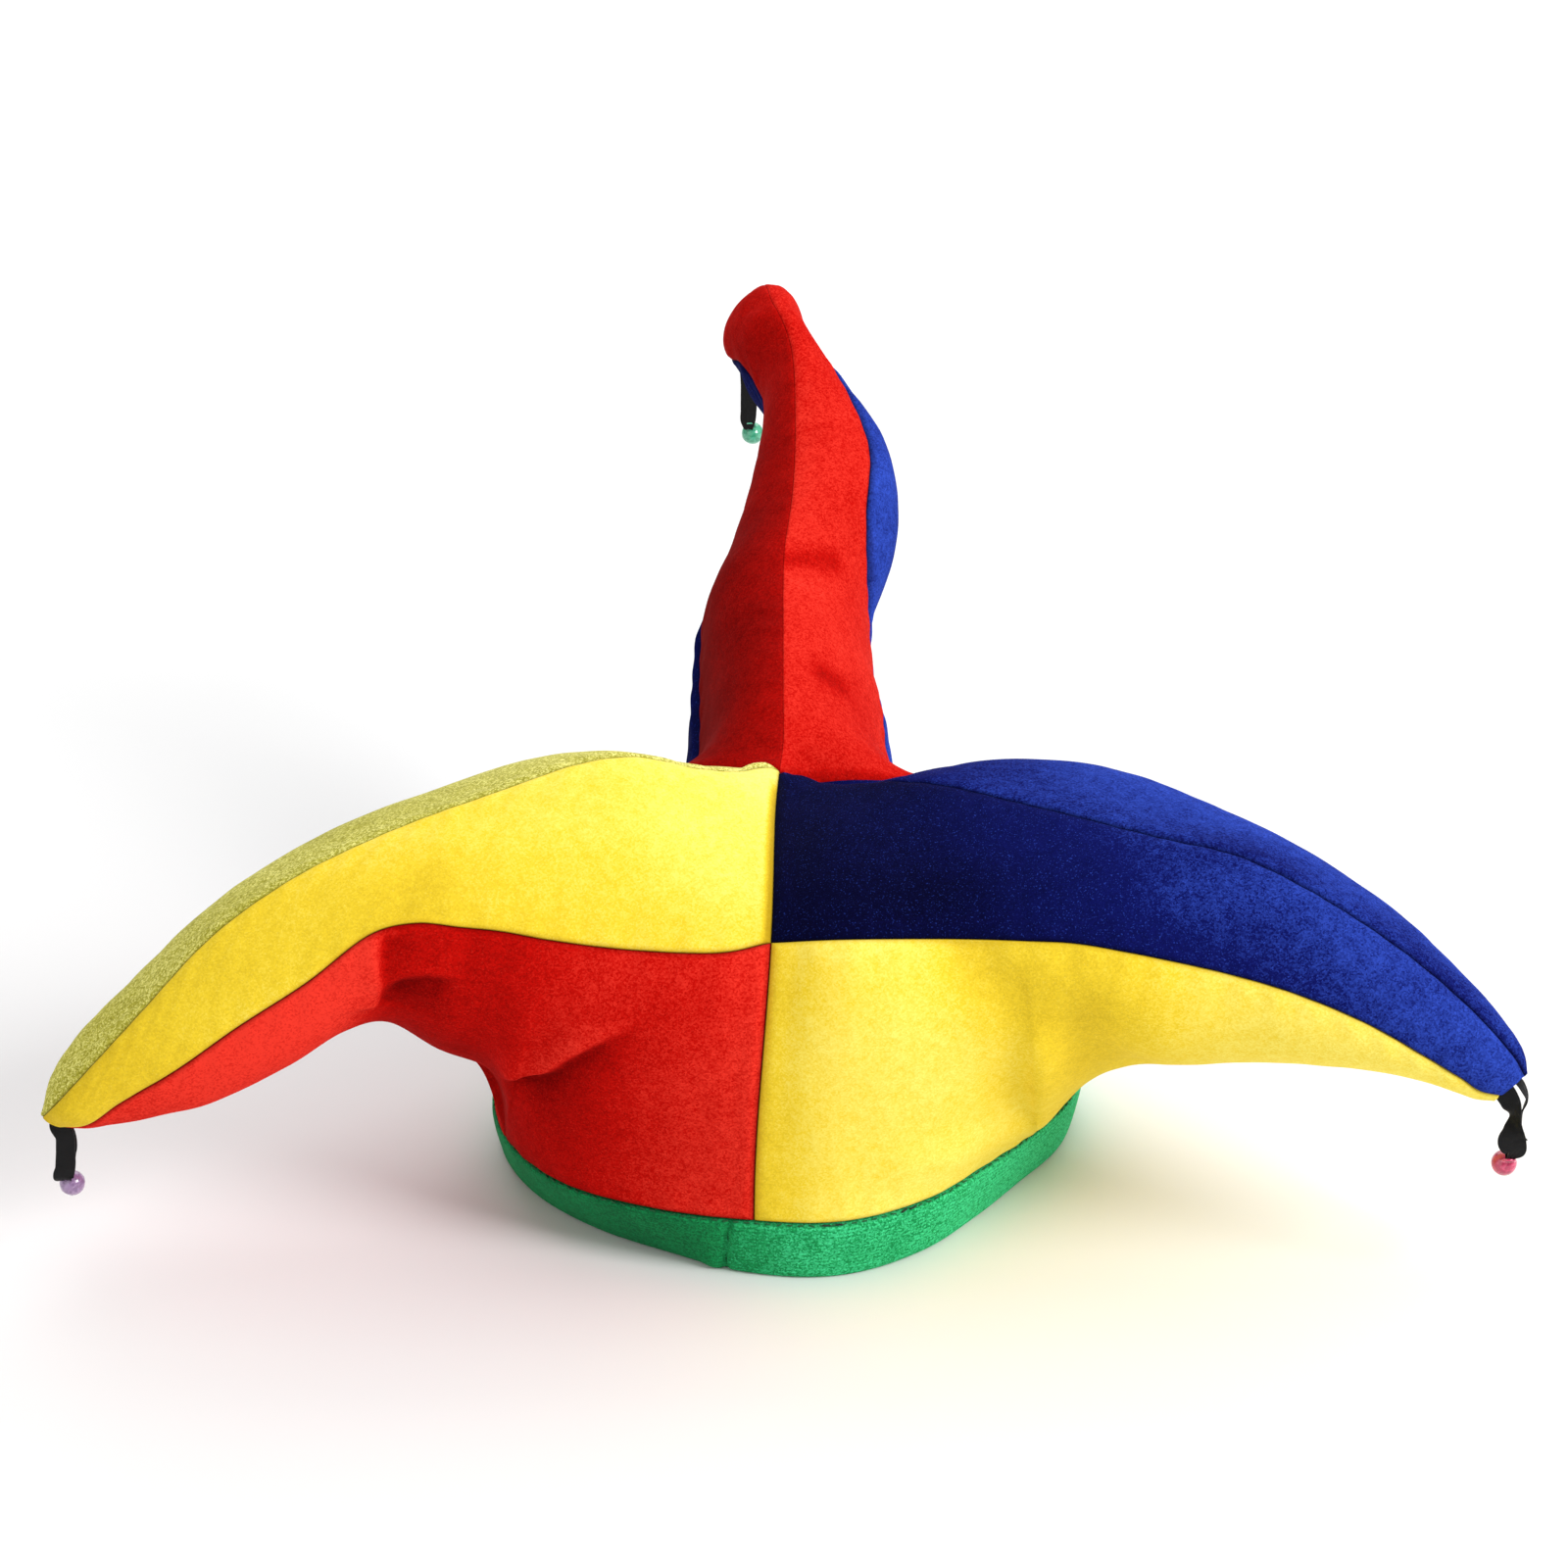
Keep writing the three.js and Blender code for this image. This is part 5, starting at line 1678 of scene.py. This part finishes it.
    def bell(self) -> bpy.types.Object:
        """Makes the slotted enamel bell with its wire eye.

        Returns:
            The piece, in place of the plain bell.
        """
        name = f"bell_{self.shape.name}"
        outside = plain_object(self._ball(self.bell_radius, self.bell_swirl), f"{name}_enamel")
        hollow = plain_object(self._ball(self.bell_radius - self.bell_wall, 0.0), "hollow")
        cutters = [hollow, *(self._slot_cutter(turn) for turn in (0.0, math.pi / 2))]
        for cutter in cutters:
            change = outside.modifiers.new("cut", "BOOLEAN")
            change.operation = "DIFFERENCE"
            change.object = cutter
        graph = bpy.context.evaluated_depsgraph_get()
        mesh = bpy.data.meshes.new_from_object(outside.evaluated_get(graph))
        outside.modifiers.clear()
        work = bmesh.new()
        work.from_mesh(mesh)
        self._add_eye(work)
        top = -unit(np.array(self.hang))
        side = unit(np.array([1.0, 0.0, 0.0]) - top * top[0])
        axes = np.array([side, np.cross(top, side), top])
        place = self.eye + SHIFT
        for vertex in work.verts:
            vertex.co = (np.array(vertex.co) @ axes + place) * MM
        for face in work.faces:
            face.smooth = True
        work.to_mesh(outside.data)
        work.free()
        outside.data.materials.clear()
        outside.data.materials.append(self.finish.material())
        for cutter in cutters:
            bpy.data.objects.remove(cutter)
        outside.data.set_sharp_from_angle(angle=math.radians(40))
        settle(outside, self.finish.slot, name)
        return outside

    def _slot_cutter(self, turn: float) -> bpy.types.Object:
        """Makes a cutter for one slot, with round ends.

        Args:
            turn: the slot's direction in radians.

        Returns:
            A loose object that is removed after the cut.
        """
        half = self.bell_radius * self.slot_span / 2
        corners = 16
        work = bmesh.new()
        c, s = math.cos(turn), math.sin(turn)
        outline = []
        for k in range(corners):
            angle = 2 * math.pi * k / corners
            x = math.cos(angle) * self.slot_width / 2 + (half if math.cos(angle) > 0 else -half)
            y = math.sin(angle) * self.slot_width / 2
            outline.append((x * c - y * s, x * s + y * c))
        low, high = (
            [work.verts.new((x, y, self.ball_centre - drop * self.bell_radius)) for x, y in outline]
            for drop in (2, 0.35)
        )
        work.faces.new(low[::-1])
        work.faces.new(high)
        for k in range(corners):
            n = (k + 1) % corners
            work.faces.new((low[k], low[n], high[n], high[k]))
        return plain_object(work, "slot")

    def _add_eye(self, work: bmesh.types.BMesh) -> None:
        """Adds the wire eye, a ring that stands across the ribbon, to the bell's mesh."""
        around, wire = 40, 12
        rings = []
        for i in range(around):
            a = 2 * math.pi * i / around
            thick = self.eye_wire * (1 + 0.35 * math.exp(-((math.sin(a / 2 - 3 * math.pi / 4) / 0.3) ** 2)))
            ring = []
            for j in range(wire):
                b = 2 * math.pi * j / wire
                r = self.eye_radius + thick * math.cos(b)
                ring.append(work.verts.new((r * math.cos(a), thick * math.sin(b), r * math.sin(a))))
            rings.append(ring)
        for i in range(around):
            for j in range(wire):
                n = (j + 1) % wire
                m = (i + 1) % around
                work.faces.new((rings[i][j], rings[i][n], rings[m][n], rings[m][j]))


DROPS = (
    Drop(
        LEFT_HORN,
        eye_place=(2.3, 18.6, 0.0),
        hang=(1.25, 2.5, -4.96),
        front=(
            (1.4, 0.9, -1.0, 6.0, 0),
            (3.0, 4.3, -1.5, 6.0, 0),
            (3.0, 9.0, -1.8, 6.0, 6),
            (2.5, 15.5, -2.0, 6.2, -6),
            (1.8, 19.4, -2.1, 5.6, 0),
            (2.6, 20.4, -0.9, 2.8, 0),
        ),
        back=(
            (1.2, 0.8, 0.8, 6.0, 0),
            (2.8, 5.0, 1.2, 6.0, 0),
            (2.8, 12.0, 1.5, 6.0, 0),
            (3.4, 16.0, 1.0, 2.8, 0),
        ),
        finish=LILAC,
    ),
    Drop(
        RIGHT_HORN,
        eye_place=(0.7, 26.2, 0.0),
        hang=(-0.5, 4.6, -3.3),
        front=(
            (-2.6, 0.9, -0.5, 6.4, 0),
            (-0.4, 4.4, -1.0, 6.2, 0),
            (1.7, 9.9, -1.5, 5.4, 60),
            (1.4, 14.4, -1.8, 6.8, 25),
            (1.2, 18.4, -2.0, 9.2, 0),
            (2.6, 21.8, -2.0, 5.6, 0),
            (1.4, 23.8, -1.4, 2.8, 0),
        ),
        back=(
            (3.6, 0.2, 0.5, 4.0, 66),
            (5.2, 4.8, 1.0, 3.4, 76),
            (3.8, 10.0, 1.6, 4.4, 62),
            (2.0, 18.0, 2.3, 5.0, 20),
            (0.9, 23.4, 1.4, 2.8, 0),
        ),
        finish=PINK,
    ),
    Drop(
        BACK_HORN,
        eye_place=(-0.5, 27.2, 0.0),
        hang=(0.9, 3.57, -4.36),
        front=(
            (-1.2, 2.0, 0.2, 5.4, 0),
            (-1.0, 12.0, -1.0, 5.6, 8),
            (-1.0, 20.6, -1.3, 5.8, -6),
            (-1.2, 25.6, -1.4, 5.0, 0),
            (-0.9, 28.2, -0.9, 2.6, 0),
        ),
        back=(
            (-1.0, 2.0, 1.4, 5.4, 0),
            (-0.8, 12.0, 1.8, 5.6, 0),
            (-0.8, 20.0, 1.8, 5.0, 0),
            (-0.6, 24.6, 1.0, 2.6, 0),
        ),
        finish=MINT,
    ),
)


def plain_object(work: bmesh.types.BMesh, name: str) -> bpy.types.Object:
    """Puts a bmesh in the scene as an object, with its faces pointing out, and frees it.

    Args:
        work: the mesh.
        name: the object's name.

    Returns:
        The new object.
    """
    bmesh.ops.recalc_face_normals(work, faces=work.faces)
    mesh = bpy.data.meshes.new(name)
    work.to_mesh(mesh)
    work.free()
    return add_object(name, mesh)


def tidy_normals(piece: bpy.types.Object) -> None:
    """Turns a closed piece's faces outward."""
    work = bmesh.new()
    work.from_mesh(piece.data)
    bmesh.ops.recalc_face_normals(work, faces=work.faces)
    work.to_mesh(piece.data)
    work.free()


@dataclass(frozen=True)
class SeamStitches:
    """Short thread stitches that pull a seam together, laid along a path by geometry nodes."""

    spacing: float = 3.4
    length: float = 1.7
    thread: float = 0.22
    wander: float = 0.35
    seed: int = 5

    def _tree(self, thread_material: bpy.types.Material) -> bpy.types.NodeTree:
        """Builds the tree that lays a stitch at every step of a curve.

        Args:
            thread_material: what the stitches are made of.

        Returns:
            A geometry tree with named inputs for its sizes.
        """
        kit, given, result = start_group(
            "seam stitches",
            "GeometryNodeTree",
            {
                "Path": ("NodeSocketGeometry", None),
                "Spacing": ("NodeSocketFloat", self.spacing * MM),
                "Stitch Length": ("NodeSocketFloat", self.length * MM),
                "Thread Radius": ("NodeSocketFloat", self.thread * MM),
                "Wander": ("NodeSocketFloat", self.wander),
            },
            {"Stitches": "NodeSocketGeometry"},
        )
        curve = {"Curve": given["Path"], "Length": given["Spacing"]}
        spaced = kit.add("GeometryNodeResampleCurve", curve, mode="LENGTH")
        stitch = kit.add("GeometryNodeMeshCylinder", {"Vertices": 8, "Side Segments": 4})
        kit.feed(stitch, {"Radius": given["Thread Radius"], "Depth": given["Stitch Length"]})
        tangent = kit.add("GeometryNodeInputTangent").outputs["Tangent"]
        aligned = kit.add("FunctionNodeAlignRotationToVector", {"Vector": tangent}, axis="Z")
        wander = given["Wander"]
        low, high = (
            kit.add("ShaderNodeVectorMath", {"Vector": (end,) * 3, "Scale": wander}, operation="SCALE")
            for end in (-1, 1)
        )
        bounds = {"Min": low.outputs["Vector"], "Max": high.outputs["Vector"], "Seed": self.seed}
        chance = kit.add("FunctionNodeRandomValue", bounds, data_type="FLOAT_VECTOR")
        turned = kit.add("FunctionNodeEulerToRotation", {"Euler": chance.outputs["Value"]})
        turns = {"Rotation": aligned.outputs["Rotation"], "Rotate By": turned.outputs["Rotation"]}
        both = kit.add("FunctionNodeRotateRotation", turns, rotation_space="LOCAL")
        parts = {
            "Points": spaced.outputs["Curve"],
            "Instance": stitch.outputs["Mesh"],
            "Rotation": both.outputs["Rotation"],
        }
        laid = kit.add("GeometryNodeInstanceOnPoints", parts).outputs["Instances"]
        real = kit.add("GeometryNodeRealizeInstances", {"Geometry": laid}).outputs["Geometry"]
        dress = {"Geometry": real, "Material": thread_material}
        kit.put(result["Stitches"], kit.add("GeometryNodeSetMaterial", dress).outputs["Geometry"])
        return kit.tree

    def build(self, name: str, paths: Sequence[Array], finish: ThreadFinish) -> bpy.types.Object:
        """Lays stitches along several paths.

        Args:
            name: the piece's name.
            paths: points in millimetres in the brim's frame, one array a path.
            finish: the thread.

        Returns:
            One plain mesh of stitches.
        """
        curve = bpy.data.curves.new(name, "CURVE")
        curve.dimensions = "3D"
        for path in paths:
            spline = curve.splines.new("POLY")
            spline.points.add(len(path) - 1)
            for point, place in zip(spline.points, (path + SHIFT) * MM):
                point.co = (*place, 1.0)
        holder = add_object(f"{name}_path", curve)
        material = finish.material()
        change = holder.modifiers.new("stitches", "NODES")
        change.node_group = self._tree(material)
        sizes = {
            "Spacing": self.spacing * MM,
            "Stitch Length": self.length * MM,
            "Thread Radius": self.thread * MM,
            "Wander": self.wander,
        }
        for item in change.node_group.interface.items_tree:
            if item.in_out == "INPUT" and item.name in sizes:
                change[item.identifier] = sizes[item.name]
        graph = bpy.context.evaluated_depsgraph_get()
        mesh = bpy.data.meshes.new_from_object(holder.evaluated_get(graph), depsgraph=graph)
        bpy.data.objects.remove(holder)
        mesh.name = name
        piece = add_object(name, mesh)
        for polygon in mesh.polygons:
            polygon.use_smooth = True
        settle(piece, finish.slot)
        return piece


@dataclass(frozen=True)
class Studio:
    """Pale floor, soft lights and a camera at the picture's angle."""

    elevation: float = 25.5
    distance: float = 1500.0
    target: Triple = (-2.6, 0.0, 131.9)
    lens: float = 108.0
    floor_size: float = 6.0

    def camera(self) -> None:
        """Sets the camera."""
        turn = math.radians(self.elevation)
        back = np.array([0.0, -math.cos(turn), math.sin(turn)])
        place = (np.array(self.target) + SHIFT + back * self.distance) * MM
        data = bpy.data.cameras.new("camera")
        data.lens = self.lens
        data.sensor_width = 36.0
        data.clip_end = 50.0
        holder = add_object("camera", data)
        holder.location = Vector(place)
        holder.rotation_euler = (math.pi / 2 - turn, 0.0, 0.0)
        bpy.context.scene.camera = holder

    def floor(self) -> None:
        """Lays the pale floor under the hat."""
        s = self.floor_size / 2
        mesh = bpy.data.meshes.new("floor")
        mesh.from_pydata([(-s, -s, 0), (s, -s, 0), (s, s, 0), (-s, s, 0)], [], [(0, 1, 2, 3)])
        material, kit, shader = start_material("pale floor")
        kit.feed(shader, {"Base Color": (0.86, 0.86, 0.86, 1), "Roughness": 0.9})
        mesh.materials.append(material)
        holder = add_object("floor", mesh)

    def light(
        self, name: str, place: Triple, size: float, power: float, aim: Triple = (0.0, -0.05, 0.09)
    ) -> None:
        """Adds one soft square light.

        Args:
            name: the light's name.
            place: where it hangs, in metres.
            size: the width of its square, in metres.
            power: in watts.
            aim: what it looks at, in metres; the hat unless given.
        """
        data = bpy.data.lights.new(name, "AREA")
        data.size = size
        data.energy = power
        holder = add_object(name, data)
        holder.location = Vector(place)
        holder.rotation_euler = (Vector(aim) - Vector(place)).to_track_quat("-Z", "Y").to_euler()

    def build(self) -> None:
        """Makes the floor, the lights and the camera."""
        self.camera()
        self.floor()
        self.light("key", (1.25, -0.85, 1.1), 0.7, 24.0)
        self.light("fill", (-1.3, -1.2, 0.7), 1.4, 6.0)
        self.light("top", (-0.1, 0.2, 1.8), 1.4, 9.0)
        self.light("backdrop", (0.0, 1.9, 1.3), 2.4, 26.0, aim=(0.0, 1.6, 0.0))
        world = bpy.data.worlds.new("studio air")
        world.use_nodes = True
        air = NodeTree(world.node_tree)
        air.feed(world.node_tree.nodes["Background"], {"Color": (1, 1, 1, 1), "Strength": 0.42})
        bpy.context.scene.world = world
        bpy.context.scene.view_settings.view_transform = "Standard"


def foot_path(start: float, end: float) -> Array:
    """Returns the line where the crown's cloth meets the band, between two compass angles."""
    angles = np.linspace(start, end, 200)
    return BRIM.point(angles, 0.9, BRIM.band_height - 0.35)


def main() -> None:
    """Builds the hat in order: stage, horns, band, drops and stitches."""
    logging.basicConfig(level=logging.INFO, format="%(message)s")
    Studio().build()
    horns = (
        HornPanels(
            LEFT_HORN,
            YELLOW,
            YELLOW_PAINTED_SHEEN_AND_SHADE,
            RED,
            "left_horn_top_front",
            "left_horn_top_back",
            valley_painted_shade=0.75,
            ridge_faint=1.6,
        ),
        HornPanels(
            RIGHT_HORN,
            BLUE,
            BLUE,
            YELLOW,
            "right_horn_top_front",
            "right_horn_top_back",
            ridge_roll=Roll(5.0, 2.6),
        ),
        HornPanels(
            BACK_HORN,
            RED,
            RED,
            BLUE,
            "back_horn_top_right",
            "back_horn_top_left",
            ridge_roll=Roll(2.4, 0.6),
            ridge_faint=8.0,
        ),
    )
    for horn in horns:
        horn.build()
    Band().build()
    for drop in DROPS:
        drop.ribbon()
        drop.bell()
    SeamStitches().build("band_stitches", [foot_path(-180, 180)], THREAD)
    marks = [foot_path(-83, -80.6), foot_path(-65.6, -63.4)]
    SeamStitches(length=2.6, thread=0.3).build("band_thread_marks", marks, DARK_THREAD)


if __name__ == "__main__":
    main()
